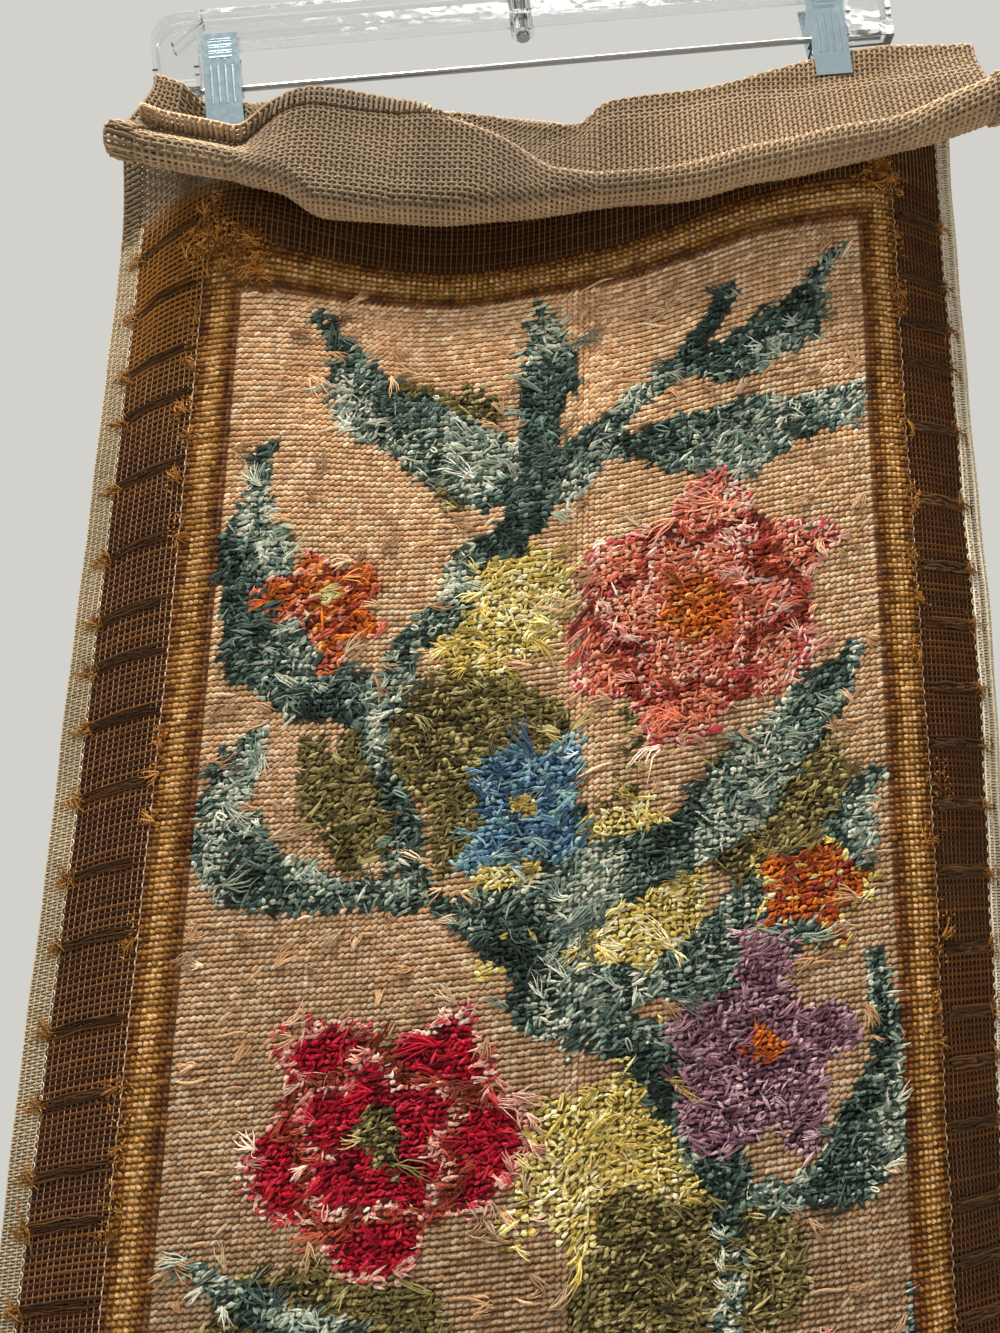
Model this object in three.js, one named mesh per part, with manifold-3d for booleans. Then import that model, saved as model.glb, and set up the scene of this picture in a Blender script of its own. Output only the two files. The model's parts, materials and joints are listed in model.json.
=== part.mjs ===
// Needlepoint wall hanging on a clip hanger, seen from the stitched canvas's wrong side.
// Millimetres, +Z up, the cloth's front faces -Y. The origin is the hook's seat: the top of its inside.
import * as THREE from 'three';
import { mergeVertices } from 'three/addons/utils/BufferGeometryUtils.js';
import Module from 'manifold-3d';

const wasm = await Module();
wasm.setup();

// ---------------------------------------------------------------- driving sizes
const degree = Math.PI / 180;
const hangerTilt = 7.3;                      // the hanger hangs with its right end up, degrees
const gap = 0.3;                             // between pieces that touch

const canvas = {
  width: 411,                                // 162 threads at 2.54 mm
  worked: 701,                               // height of the stitched part
  bottomMargin: 60,                          // bare canvas below it, ending in a hem
  thick: 2,
  hemThick: 3.2,                             // side margins and free edges are turned over
  sideHem: 0.02,                             // share of the width that is turned over
  skew: 8.5,                                 // the rows rise to the right, degrees
  settle: 220,                               // length over which the pull of the clips dies away
  spread: {                                  // the gathered top lets the sides out further down
    left: { out: 12, length: 650 },
    right: { out: 4, length: 300 },
  },
  foldRadius: 3,                             // middle surface at the top fold
};

const bar = {
  halfLength: 178,
  bottom: 25,                                // heights are from the rod's axis
  top: 42,
  depth: 11,
  armWidth: 22,
  armBottom: -3.2,
  armDepth: 8,
  corner: 15,
  innerCorner: 5,
  rim: 2.4,
  web: 2.4,
  hubRadius: 5.5,
  hubBottom: 17,
  hubTop: 44,
  socketHeight: 8,                           // the arm's solid end, round the rod
  slimHeight: 14,                            // the arm is slimmed up to here, clear of the cloth
  rib: { thick: 2, length: 20, inFromEnd: 17, up: 7 },
};
const rod = { radius: 1.5, halfLength: 172 };
const hook = {
  wire: 1.6,
  inside: 20,
  centre: 80,                                // of its round, above the rod
  stemTop: 51,
  start: -52,                                // where the neck meets the round, degrees from +X
  end: 205,
  neck: [{ out: 0.07, up: 0.45 }, { out: 0.3, up: 0.78 }],  // shares of the way to the round
  headRadius: 3.2,
  headThick: 2,
};
const clip = {
  at: 145,                                   // from the rod's middle
  width: 17.5,
  reach: 24,                                 // plate's length above and below the rod
  sheet: 1,
  topSpread: 10.2,                           // middle of the jaws to a plate's outside, at its top
  grip: 4.35,                                // and to its inside, at its lower end
  earRadius: 4.4,
  earTop: 13,
  earBottom: -5,
  springWire: 0.5,
  springTurns: 3.5,
  springLeg: 9,                              // height of its two ends, which press the jaws apart
  ribRadius: 0.9,
  ribSink: 0.45,                             // the ribs' centres, below the plate's face
  gripRibs: { at: [20.5, 17.5, 14.5, 11.5], length: 11 },
  longRibs: { at: [-5.1, -1.7, 1.7, 5.1], from: 7.5, to: -12 },
};

// ---------------------------------------------------------------- tables of the cloth's shape
// each table is its column names and one row of numbers per station. "across" is the share of the
// canvas's width from its left edge. Places are from the rod's middle.
function table(columns, rows) {
  const names = columns.split(' ');
  return rows.map((row) => Object.fromEntries(names.map((name, i) => [name, row[i]])));
}

// the top fold
const crestStations = table('across x z y', [
  [0.00, -172.7, -23.5, -12],
  [0.035, -162, -27.5, -11],
  [0.05, -156.5, -29.5, -4],
  [0.062, -152, -30, 0],
  [0.11, -132.5, -30, 0],
  [0.15, -116, -28, -1],
  [0.25, -77, -31, 2],
  [0.35, -38, -29, 4],
  [0.45, 1, -33, 4],
  [0.51, 24, -35, 3],
  [0.55, 39, -25, -2],
  [0.66, 83, -18, -4],
  [0.76, 121, -5, -2],
  [0.80, 136, 1.5, 0],
  [0.85, 156, 7.5, 0],
  [0.90, 176, 10.5, -1],
  [1.00, 213, 11.5, -3],
]);
// the flap in front of the top fold: straight down in the clips for "hold", out and down to the tuck,
// round the lower bend until it heads at "rise", on for "stand", then curled over to "curl" and its hem
const flapStations = table('across flare hold tuckY tuckZ bend rise stand curlR curl hem', [
  [0.000, -12, 4, -33, -75, 5.5, 150, 12, 3.5, 30, 5],
  [0.060, -2, 18, -24.5, -78.5, 6, 145, 12, 3.5, 25, 5],
  [0.110, 0, 18, -24, -82, 6, 145, 12, 3.5, 25, 5],
  [0.135, 0, 10, -23, -85, 6.5, 122, 24, 4, 45, 5],
  [0.165, 0, 6, -21, -86, 7.5, 108, 38, 6, 80, 4],
  [0.220, 0, 4, -18, -95, 8, 103, 52, 6, 75, 4],
  [0.285, 0, 4, -17, -96, 8, 103, 52, 6, 95, 4],
  [0.345, 0, 4, -17, -96, 8, 100, 44, 6, 160, 5],
  [0.395, 0, 4, -17.5, -95, 8, 100, 33, 6, 225, 6],
  [0.436, 0, 5, -17.5, -94, 8, 98, 21, 6, 260, 6],
  [0.487, 0, 5, -18.5, -91, 8, 96, 5, 6, 280, 6],
  [0.540, 0, 5, -19, -88, 7.5, 95, 1.5, 5, 285, 5],
  [0.640, 0, 5, -20.5, -82, 7.5, 95, 1, 5, 290, 5],
  [0.715, 0, 6, -22.5, -74.5, 7.5, 95, 1, 5, 290, 5],
  [0.790, 0, 13, -24, -69, 7.5, 95, 2, 5, 290, 5],
  [0.860, 0, 13, -25.5, -62.5, 7.5, 95, 2, 5, 290, 5],
  [0.930, 1, 5, -28, -54.5, 9, 95, 2, 6, 290, 6],
  [1.000, 4, 3, -31, -44, 9.5, 95, 2, 6.5, 290, 6],
]);
// the hanging panel: its columns, and the height of the stitching's top row
const panelStations = table('across x y topRow', [
  [0.00, -188.5, 12, -93],
  [0.03, -177, 8, -88],
  [0.06, -165, 5, -78],
  [0.11, -145, 1, -71],
  [0.15, -130, -1, -71],
  [0.36, -44, -2, -79],
  [0.56, 39, -2, -66],
  [0.74, 113, -2, -34],
  [0.85, 157.5, 0, -22],
  [0.89, 172, 5, -20],
  [0.97, 199, 21, -17],
  [1.00, 209, 30, -15],
]);
// soft swells and hollows of the panel: centre, reach across and down, depth (front is minus)
const swells = table('across down wide tall depth', [
  [0.16, 22, 0.07, 26, -11],
  [0.42, 18, 0.16, 34, 9],
  [0.72, 60, 0.12, 60, -5],
  [0.24, 150, 0.10, 120, -5],
  [0.50, 330, 0.14, 200, -7],
  [0.74, 300, 0.08, 220, 5],
  [0.00, 560, 0.12, 200, 13],
  [1.00, 520, 0.12, 150, 14],
  [0.30, 620, 0.14, 220, 6],
  [0.66, 640, 0.14, 200, -6],
]);
// how many faces run across and along the cloth
const acrossRuns = table('from to faces', [
  [0, 0.06, 3],
  [0.06, 0.11, 4],
  [0.11, 0.19, 5],
  [0.19, 0.79, 22],
  [0.79, 0.87, 4],
  [0.87, 1, 6],
]);
const alongFaces = { panel: 14, upper: 6, fold: 4, held: 2, fall: 3, bend: 5, stand: 2, curl: 5, hem: 1 };
const upperStart = 90;                       // below the top row, where the faces get shorter

// ---------------------------------------------------------------- small helpers
const mix = (a, b, t) => a + (b - a) * t;
const smooth = (t) => {
  const c = Math.min(1, Math.max(0, t));
  return c * c * (3 - 2 * c);
};

// a smooth curve through one column of a table, without overshoot
function along(table, name, across) {
  const at = table.map((row) => row.across);
  const value = table.map((row) => row[name]);
  const rise = at.slice(1).map((a, i) => (value[i + 1] - value[i]) / (a - at[i]));
  const tangent = (i) => {
    if (i === 0) return rise[0];
    if (i === rise.length) return rise[i - 1];
    const product = rise[i - 1] * rise[i];
    return product <= 0 ? 0 : 2 * product / (rise[i - 1] + rise[i]);
  };
  let i = at.length - 2;
  while (i > 0 && across < at[i]) i -= 1;
  const span = at[i + 1] - at[i];
  const t = (across - at[i]) / span;
  const s = 1 - t;
  return value[i] * s * s * (1 + 2 * t) + tangent(i) * span * t * s * s
    + value[i + 1] * t * t * (3 - 2 * t) - tangent(i + 1) * span * t * t * s;
}

function toManifold(geometry) {
  const plain = geometry.index ? geometry.toNonIndexed() : geometry.clone();
  for (const name of Object.keys(plain.attributes)) {
    if (name !== 'position') plain.deleteAttribute(name);
  }
  const merged = mergeVertices(plain, 1e-4);
  return new wasm.Manifold(new wasm.Mesh({
    numProp: 3,
    vertProperties: new Float32Array(merged.attributes.position.array),
    triVerts: new Uint32Array(merged.index.array),
  }));
}

function toGeometry(solid) {
  const mesh = solid.getMesh();
  const geometry = new THREE.BufferGeometry();
  geometry.setAttribute('position', new THREE.BufferAttribute(new Float32Array(mesh.vertProperties), 3));
  geometry.setIndex(new THREE.BufferAttribute(new Uint32Array(mesh.triVerts), 1));
  return geometry;
}

const joined = (...parts) => parts.map(toManifold).reduce((sum, part) => sum.add(part));

// an outline in the X-Z plane, given depth about Y
function plateXZ(shape, depth, curveSegments = 8) {
  const geometry = new THREE.ExtrudeGeometry(shape, { depth, bevelEnabled: false, curveSegments });
  geometry.translate(0, 0, -depth / 2);
  return geometry.rotateX(Math.PI / 2);
}

// an outline in the Y-Z plane, given thickness from x to x + thick
function plateYZ(shape, x, thick, curveSegments = 8) {
  const geometry = new THREE.ExtrudeGeometry(shape, { depth: thick, bevelEnabled: false, curveSegments });
  const turn = new THREE.Matrix4().makeBasis(
    new THREE.Vector3(0, 1, 0), new THREE.Vector3(0, 0, 1), new THREE.Vector3(1, 0, 0));
  return geometry.applyMatrix4(turn).translate(x, 0, 0);
}

function cylinderX(radius, length, x, sides = 16) {
  const geometry = new THREE.CylinderGeometry(radius, radius, length, sides);
  return geometry.rotateZ(Math.PI / 2).translate(x, 0, 0);
}

function cylinderZ(radius, bottom, top, sides = 16) {
  const geometry = new THREE.CylinderGeometry(radius, radius, top - bottom, sides);
  return geometry.rotateX(Math.PI / 2).translate(0, 0, (top + bottom) / 2);
}

function named(name, geometry, material) {
  const mesh = new THREE.Mesh(geometry, new THREE.MeshStandardMaterial(material));
  mesh.name = name;
  return mesh;
}

// ---------------------------------------------------------------- the cloth
// height of a row, counted up from the stitching's top row
function rowHeight(across, up) {
  const straight = along(panelStations, 'topRow', 0.5)
    + Math.tan(canvas.skew * degree) * (along(panelStations, 'x', across) - along(panelStations, 'x', 0.5));
  const pulled = along(panelStations, 'topRow', across) - straight;
  return straight + up + pulled * Math.exp(Math.min(0, up) / canvas.settle);
}

function panelDepth(across, up) {
  let y = along(panelStations, 'y', across);
  for (const swell of swells) {
    const u = (across - swell.across) / swell.wide;
    const v = (-up - swell.down) / swell.tall;
    y += swell.depth * Math.exp(-u * u - v * v);
  }
  return y;
}

// the panel's middle surface, from the bottom hem up to the top fold
function panelPoint(across, up) {
  const crestZ = along(crestStations, 'z', across);
  const share = up / (crestZ - along(panelStations, 'topRow', across));
  const rise = smooth(share);
  const { left, right } = canvas.spread;
  return {
    x: mix(along(panelStations, 'x', across), along(crestStations, 'x', across), smooth(2 * share - 1))
      - left.out * (1 - across) ** 3 * smooth(-up / left.length)
      + right.out * across ** 3 * smooth(-up / right.length),
    y: mix(panelDepth(across, up), along(crestStations, 'y', across) + canvas.foldRadius, rise),
    z: rowHeight(across, up),
  };
}

// one column of the flap, as places in Y and Z with the way it heads: 0 is forwards, 90 is up
function flapColumn(across) {
  const at = (name) => along(flapStations, name, across);
  const start = {
    y: along(crestStations, 'y', across) - canvas.foldRadius,
    z: along(crestStations, 'z', across),
  };
  const points = [];
  const add = (y, z, heading) => points.push({ y, z, heading });
  const held = { y: start.y, z: start.z - at('hold') };
  const fallHeading = Math.atan2(at('tuckZ') - held.z, held.y - at('tuckY'));
  for (let i = 1; i <= alongFaces.held; i++) {
    add(start.y, mix(start.z, held.z, i / alongFaces.held), -Math.PI / 2);
  }
  for (let i = 1; i <= alongFaces.fall; i++) {
    const t = i / alongFaces.fall;
    add(mix(held.y, at('tuckY'), t), mix(held.z, at('tuckZ'), t), fallHeading);
  }
  let { y, z } = points[points.length - 1];
  let heading = fallHeading;
  const arc = (radius, to, faces) => {
    const from = heading;
    const sign = Math.sign(to - from) || 1;
    const centre = { y: y + sign * radius * Math.sin(from), z: z + sign * radius * Math.cos(from) };
    for (let i = 1; i <= faces; i++) {
      heading = mix(from, to, i / faces);
      y = centre.y - sign * radius * Math.sin(heading);
      z = centre.z - sign * radius * Math.cos(heading);
      add(y, z, heading);
    }
  };
  const straight = (length, faces) => {
    for (let i = 0; i < faces; i++) {
      y -= Math.cos(heading) * length / faces;
      z += Math.sin(heading) * length / faces;
      add(y, z, heading);
    }
  };
  arc(at('bend'), at('rise') * degree, alongFaces.bend);
  straight(at('stand'), alongFaces.stand);
  arc(at('curlR'), at('curl') * degree, alongFaces.curl);
  straight(at('hem'), alongFaces.hem);
  return points;
}

// the whole column's middle surface, from the bottom hem to the flap's free edge
function clothColumn(across) {
  const points = [];
  const bottom = canvas.worked + canvas.bottomMargin;
  for (let i = 0; i < alongFaces.panel; i++) {
    points.push(panelPoint(across, mix(-bottom, -upperStart, i / alongFaces.panel)));
  }
  const crestZ = along(crestStations, 'z', across);
  const crestUp = crestZ - along(panelStations, 'topRow', across);
  for (let i = 0; i <= alongFaces.upper; i++) {
    points.push(panelPoint(across, mix(-upperStart, crestUp, i / alongFaces.upper)));
  }
  const crestX = along(crestStations, 'x', across);
  const crestY = along(crestStations, 'y', across);
  for (let i = 1; i <= alongFaces.fold; i++) {
    const turn = Math.PI * i / alongFaces.fold;
    points.push({
      x: crestX,
      y: crestY + canvas.foldRadius * Math.cos(turn),
      z: crestZ + canvas.foldRadius * Math.sin(turn),
    });
  }
  const flare = along(flapStations, 'flare', across);
  const flap = flapColumn(across);
  flap.forEach((point, i) => {
    const out = smooth((i + 1) / (alongFaces.held + alongFaces.fall));
    const back = smooth((i - alongFaces.held - alongFaces.fall - alongFaces.bend) / alongFaces.curl);
    points.push({ x: crestX + flare * out * (1 - back), y: point.y, z: point.z });
  });
  return points.map((p) => new THREE.Vector3(p.x, p.y, p.z));
}

// a closed sheet about a grid of middle points
function sheet(columns, thicknessAt) {
  const across = columns.length;
  const rows = columns[0].length;
  const clampAt = (i, j) => columns[Math.min(across - 1, Math.max(0, i))][Math.min(rows - 1, Math.max(0, j))];
  const positions = [];
  for (const side of [1, -1]) {
    for (let i = 0; i < across; i++) {
      for (let j = 0; j < rows; j++) {
        const right = new THREE.Vector3().subVectors(clampAt(i + 1, j), clampAt(i - 1, j));
        const ahead = new THREE.Vector3().subVectors(clampAt(i, j + 1), clampAt(i, j - 1));
        const out = right.cross(ahead).normalize().multiplyScalar(side * thicknessAt(i, j) / 2);
        positions.push(...clampAt(i, j).clone().add(out).toArray());
      }
    }
  }
  const indices = [];
  const at = (side, i, j) => side * across * rows + i * rows + j;
  const quad = (a, b, c, d) => indices.push(a, b, c, a, c, d);
  for (let i = 0; i < across - 1; i++) {
    for (let j = 0; j < rows - 1; j++) {
      quad(at(0, i, j), at(0, i + 1, j), at(0, i + 1, j + 1), at(0, i, j + 1));
      quad(at(1, i, j), at(1, i, j + 1), at(1, i + 1, j + 1), at(1, i + 1, j));
    }
    quad(at(1, i, 0), at(1, i + 1, 0), at(0, i + 1, 0), at(0, i, 0));
    quad(at(0, i, rows - 1), at(0, i + 1, rows - 1), at(1, i + 1, rows - 1), at(1, i, rows - 1));
  }
  for (let j = 0; j < rows - 1; j++) {
    quad(at(0, 0, j), at(0, 0, j + 1), at(1, 0, j + 1), at(1, 0, j));
    quad(at(1, across - 1, j), at(1, across - 1, j + 1), at(0, across - 1, j + 1), at(0, across - 1, j));
  }
  const geometry = new THREE.BufferGeometry();
  geometry.setAttribute('position', new THREE.Float32BufferAttribute(positions, 3));
  geometry.setIndex(indices);
  return geometry;
}

function needlepointCanvas() {
  const acrossAt = [0];
  for (const run of acrossRuns) {
    for (let i = 1; i <= run.faces; i++) acrossAt.push(mix(run.from, run.to, i / run.faces));
  }
  const columns = acrossAt.map(clothColumn);
  const last = columns[0].length - 1;
  const thicknessAt = (i, j) => {
    const inSideHem = acrossAt[i] < canvas.sideHem || acrossAt[i] > 1 - canvas.sideHem;
    return inSideHem || j === 0 || j === last ? canvas.hemThick : canvas.thick;
  };
  return named('needlepoint_canvas', sheet(columns, thicknessAt),
    { color: 0xb08f68, roughness: 0.95, metalness: 0, side: THREE.DoubleSide });
}

// ---------------------------------------------------------------- the hanger
// the bar with its two down-turned arms, drawn "inset" from its outline
function barOutline(inset) {
  const out = bar.halfLength - inset;
  const inner = bar.halfLength - bar.armWidth + inset;
  const top = bar.top - inset;
  const under = bar.bottom + inset;
  const low = bar.armBottom + inset;
  const corner = bar.corner - inset;
  const innerCorner = bar.innerCorner + inset;
  const shape = new THREE.Shape();
  shape.moveTo(-out, low);
  shape.lineTo(-inner, low);
  shape.lineTo(-inner, under - innerCorner);
  shape.absarc(-inner + innerCorner, under - innerCorner, innerCorner, Math.PI, Math.PI / 2, true);
  shape.lineTo(inner - innerCorner, under);
  shape.absarc(inner - innerCorner, under - innerCorner, innerCorner, Math.PI / 2, 0, true);
  shape.lineTo(inner, low);
  shape.lineTo(out, low);
  shape.lineTo(out, top - corner);
  shape.absarc(out - corner, top - corner, corner, 0, Math.PI / 2, false);
  shape.lineTo(-out + corner, top);
  shape.absarc(-out + corner, top - corner, corner, Math.PI / 2, Math.PI, false);
  shape.lineTo(-out, low);
  return shape;
}

function hangerBar() {
  let body = toManifold(plateXZ(barOutline(0), bar.depth, 6));
  const pocketDepth = (bar.depth - bar.web) / 2 + 1;
  const pocket = barOutline(bar.rim);
  for (const side of [-1, 1]) {
    const hollow = plateXZ(pocket, pocketDepth, 6).translate(0, side * (bar.web + pocketDepth) / 2, 0);
    body = body.subtract(toManifold(hollow));
  }
  body = body.add(toManifold(cylinderZ(bar.hubRadius, bar.hubBottom, bar.hubTop, 20)));
  for (const side of [-1, 1]) {
    const armMiddle = side * (bar.halfLength - bar.armWidth / 2);
    const socket = new THREE.BoxGeometry(bar.armWidth - 1, bar.armDepth, bar.socketHeight)
      .translate(armMiddle, 0, bar.armBottom + bar.socketHeight / 2);
    const cornerRib = new THREE.BoxGeometry(bar.rib.thick, bar.depth - 1, bar.rib.length)
      .rotateY(side * -45 * degree)
      .translate(side * (bar.halfLength - bar.rib.inFromEnd), 0, bar.bottom + bar.rib.up);
    body = body.add(toManifold(socket)).add(toManifold(cornerRib));
    const outside = new THREE.BoxGeometry(bar.armWidth + 4, bar.depth, 2 * bar.slimHeight);
    for (const face of [-1, 1]) {
      const cut = outside.clone().translate(armMiddle, face * (bar.armDepth + bar.depth) / 2, bar.armBottom);
      body = body.subtract(toManifold(cut));
    }
  }
  body = body.subtract(toManifold(cylinderX(rod.radius + gap, 2 * (rod.halfLength + gap), 0)));
  body = body.subtract(toManifold(cylinderZ(hook.wire + gap, bar.hubBottom - 1, bar.hubTop + 1)));
  return named('hanger_bar', toGeometry(body),
    { color: 0xe9eeee, roughness: 0.08, metalness: 0, transparent: true, opacity: 0.35 });
}

function hangerRod() {
  return named('hanger_rod', cylinderX(rod.radius, 2 * rod.halfLength, 0),
    { color: 0x9a9d9c, roughness: 0.3, metalness: 1 });
}

// the hook's wire: straight up from its head, a neck to the side, then round the top
function hookPath() {
  const radius = hook.inside + hook.wire;
  const onRound = (angle) => new THREE.Vector3(
    radius * Math.cos(angle * degree), 0, hook.centre + radius * Math.sin(angle * degree));
  const stemFoot = new THREE.Vector3(0, 0, bar.hubBottom - gap);
  const stemTop = new THREE.Vector3(0, 0, hook.stemTop);
  const bent = [stemTop];
  for (const { out, up } of hook.neck) {
    bent.push(new THREE.Vector3(out * radius, 0, mix(hook.stemTop, onRound(hook.start).z, up)));
  }
  const steps = 14;
  for (let i = 0; i <= steps; i++) bent.push(onRound(mix(hook.start, hook.end, i / steps)));
  const path = new THREE.CurvePath();
  path.add(new THREE.LineCurve3(stemFoot, stemTop));
  path.add(new THREE.CatmullRomCurve3(bent, false, 'centripetal'));
  return path;
}

function hangerHook() {
  const section = new THREE.Shape();
  section.absarc(0, 0, hook.wire, 0, 2 * Math.PI, false);
  const wire = new THREE.ExtrudeGeometry(section,
    { steps: 44, curveSegments: 5, bevelEnabled: false, extrudePath: hookPath() });
  const head = cylinderZ(hook.headRadius, bar.hubBottom - gap - hook.headThick, bar.hubBottom - gap, 14);
  return named('hanger_hook', toGeometry(joined(wire, head)),
    { color: 0xb9bcbb, roughness: 0.25, metalness: 1 });
}

// one jaw of a clip: a slanted plate with two ears round the rod. side is -1 in front, 1 behind
const plateOutside = (z) => mix(clip.grip + clip.sheet, clip.topSpread, (z + clip.reach) / (2 * clip.reach));
const plateSlant = Math.atan((clip.topSpread - clip.grip - clip.sheet) / (2 * clip.reach));

function clipJaw(side, halfWidth) {
  const outside = (z) => side * plateOutside(z);
  const inside = (z) => outside(z) - side * clip.sheet;
  const profile = new THREE.Shape();
  profile.moveTo(outside(-clip.reach), -clip.reach);
  profile.lineTo(outside(clip.reach), clip.reach);
  profile.lineTo(inside(clip.reach), clip.reach);
  profile.lineTo(inside(-clip.reach), -clip.reach);
  let jaw = toManifold(plateYZ(profile, -halfWidth, 2 * halfWidth));
  const intoPlate = side * clip.sheet / 5;
  const earSweep = [0.6, 1.4].map((share) => Math.PI * (side > 0 ? share : 1 - share));
  const ear = new THREE.Shape();
  ear.moveTo(inside(clip.earTop) + intoPlate, clip.earTop);
  ear.lineTo(side * -rod.radius, clip.earRadius);
  ear.absarc(0, 0, clip.earRadius, ...earSweep, side < 0);
  ear.lineTo(inside(clip.earBottom) + intoPlate, clip.earBottom);
  for (const x of [-halfWidth, halfWidth - clip.sheet]) {
    jaw = jaw.add(toManifold(plateYZ(ear, x, clip.sheet)));
  }
  return jaw.subtract(toManifold(cylinderX(rod.radius + gap, 4 * halfWidth, 0)));
}

// the pressed ribs on the front jaw: short ones across the thumb end, long ones down the grip
function clipRibs() {
  const faceY = (z) => clip.ribSink - plateOutside(z);
  const across = clip.gripRibs.at.map((z) => cylinderX(clip.ribRadius, clip.gripRibs.length, 0, 8)
    .translate(0, faceY(z), z));
  const { from, to } = clip.longRibs;
  const middle = (from + to) / 2;
  const down = clip.longRibs.at.map((x) => cylinderZ(clip.ribRadius, -(from - to) / 2, (from - to) / 2, 8)
    .rotateX(plateSlant).translate(x, faceY(middle), middle));
  return joined(...across, ...down);
}

// a coil round the rod, with one end up against each jaw
function clipSpring() {
  const radius = rod.radius + gap + clip.springWire;
  const half = clip.springTurns * (2 * clip.springWire + gap) / 2;
  const legY = plateOutside(clip.springLeg) - clip.sheet - gap - clip.springWire;
  const perTurn = 12;
  const steps = clip.springTurns * perTurn;
  const points = [new THREE.Vector3(-half - gap, legY, clip.springLeg)];
  for (let i = 0; i <= steps; i++) {
    const angle = 2 * Math.PI * i / perTurn;
    points.push(new THREE.Vector3(mix(-half, half, i / steps),
      radius * Math.cos(angle), -radius * Math.sin(angle)));
  }
  points.push(new THREE.Vector3(half + gap, -legY, clip.springLeg));
  const section = new THREE.Shape();
  section.absarc(0, 0, clip.springWire, 0, 2 * Math.PI, false);
  return new THREE.ExtrudeGeometry(section, {
    steps: steps + 8, curveSegments: 3, bevelEnabled: false,
    extrudePath: new THREE.CatmullRomCurve3(points, false, 'centripetal'),
  });
}

function clips() {
  const steel = { color: 0xa9bcc2, roughness: 0.35, metalness: 0.8 };
  const pieces = [];
  for (const [name, x] of [['left', -clip.at], ['right', clip.at]]) {
    const front = clipJaw(-1, clip.width / 2).add(clipRibs());
    const back = clipJaw(1, clip.width / 2 - clip.sheet - gap);
    pieces.push(named(`clip_${name}_front`, toGeometry(front).translate(x, 0, 0), steel));
    pieces.push(named(`clip_${name}_back`, toGeometry(back).translate(x, 0, 0), steel));
    pieces.push(named(`clip_${name}_spring`, clipSpring().translate(x, 0, 0),
      { color: 0x6f7475, roughness: 0.4, metalness: 1 }));
  }
  return pieces;
}

// ---------------------------------------------------------------- assembly
const hanger = new THREE.Group();
hanger.add(hangerBar(), hangerRod(), hangerHook(), ...clips());
hanger.rotation.y = -hangerTilt * degree;

const group = new THREE.Group();
group.add(hanger, needlepointCanvas());
// the rod's middle hangs below the hook's round, whose inside top is the origin
const tilt = hangerTilt * degree;
group.position.set(hook.centre * Math.sin(tilt), 0, -hook.centre * Math.cos(tilt) - hook.inside);

export default group;
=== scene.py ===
import json
import math
import bpy
import numpy as np
from mathutils import Vector, Matrix


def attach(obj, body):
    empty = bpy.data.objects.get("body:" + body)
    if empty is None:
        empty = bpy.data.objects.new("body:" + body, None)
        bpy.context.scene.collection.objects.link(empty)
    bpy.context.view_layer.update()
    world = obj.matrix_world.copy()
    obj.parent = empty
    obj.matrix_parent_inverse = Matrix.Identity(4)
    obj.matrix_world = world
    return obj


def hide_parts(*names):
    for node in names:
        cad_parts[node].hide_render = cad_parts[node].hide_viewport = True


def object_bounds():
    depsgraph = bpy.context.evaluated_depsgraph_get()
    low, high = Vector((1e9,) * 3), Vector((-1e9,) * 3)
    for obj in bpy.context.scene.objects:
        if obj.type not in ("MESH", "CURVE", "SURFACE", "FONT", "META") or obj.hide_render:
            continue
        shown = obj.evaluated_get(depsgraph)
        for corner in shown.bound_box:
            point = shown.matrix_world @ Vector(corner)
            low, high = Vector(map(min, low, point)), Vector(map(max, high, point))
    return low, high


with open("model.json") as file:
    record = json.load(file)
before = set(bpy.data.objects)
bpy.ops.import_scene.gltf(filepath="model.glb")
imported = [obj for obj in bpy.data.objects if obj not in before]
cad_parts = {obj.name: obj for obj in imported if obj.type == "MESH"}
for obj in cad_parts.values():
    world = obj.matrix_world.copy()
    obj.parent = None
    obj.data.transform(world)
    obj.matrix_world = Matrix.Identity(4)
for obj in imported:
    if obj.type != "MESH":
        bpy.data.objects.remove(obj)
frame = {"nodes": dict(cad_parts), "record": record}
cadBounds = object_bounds()
mm = 0.001

# the canvas and how it hangs. Lengths are in millimetres, angles in degrees
cloth = {
    "width": 411,
    "threads": 162,            # ten to the inch
    "rows": 276,               # of stitching
    "bottomMargin": 60,        # bare canvas below the stitching
    "skew": 8.5,               # the rows rise to the right
    "settle": 220,             # length over which the pull of the clips dies away
    "spread": {"left": 12, "leftLength": 650, "right": 4, "rightLength": 300},   # sides let out further down
    "foldRadius": 3,
    "flapReach": 200,          # of surface past the top fold, more than the flap needs
    "step": 1.0,               # spacing of the worked-out surface
    "ripple": 0.5,             # small unevenness, out of the surface
}
hanger = {"tilt": 7.3, "hookCentre": 80, "hookInside": 20}
threads, rowCount = cloth["threads"], cloth["rows"]
pitch = cloth["width"] / threads
worked = rowCount * pitch
tilt = math.radians(hanger["tilt"])
rodMiddle = np.array([hanger["hookCentre"] * math.sin(tilt), 0,
                      -hanger["hookCentre"] * math.cos(tilt) - hanger["hookInside"]])


def tableRows(columns, rows):
    return [dict(zip(columns.split(), row)) for row in rows]


def readTable(columns, rows):
    return {name: np.array([row[i] for row in rows], float) for i, name in enumerate(columns.split())}


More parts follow.
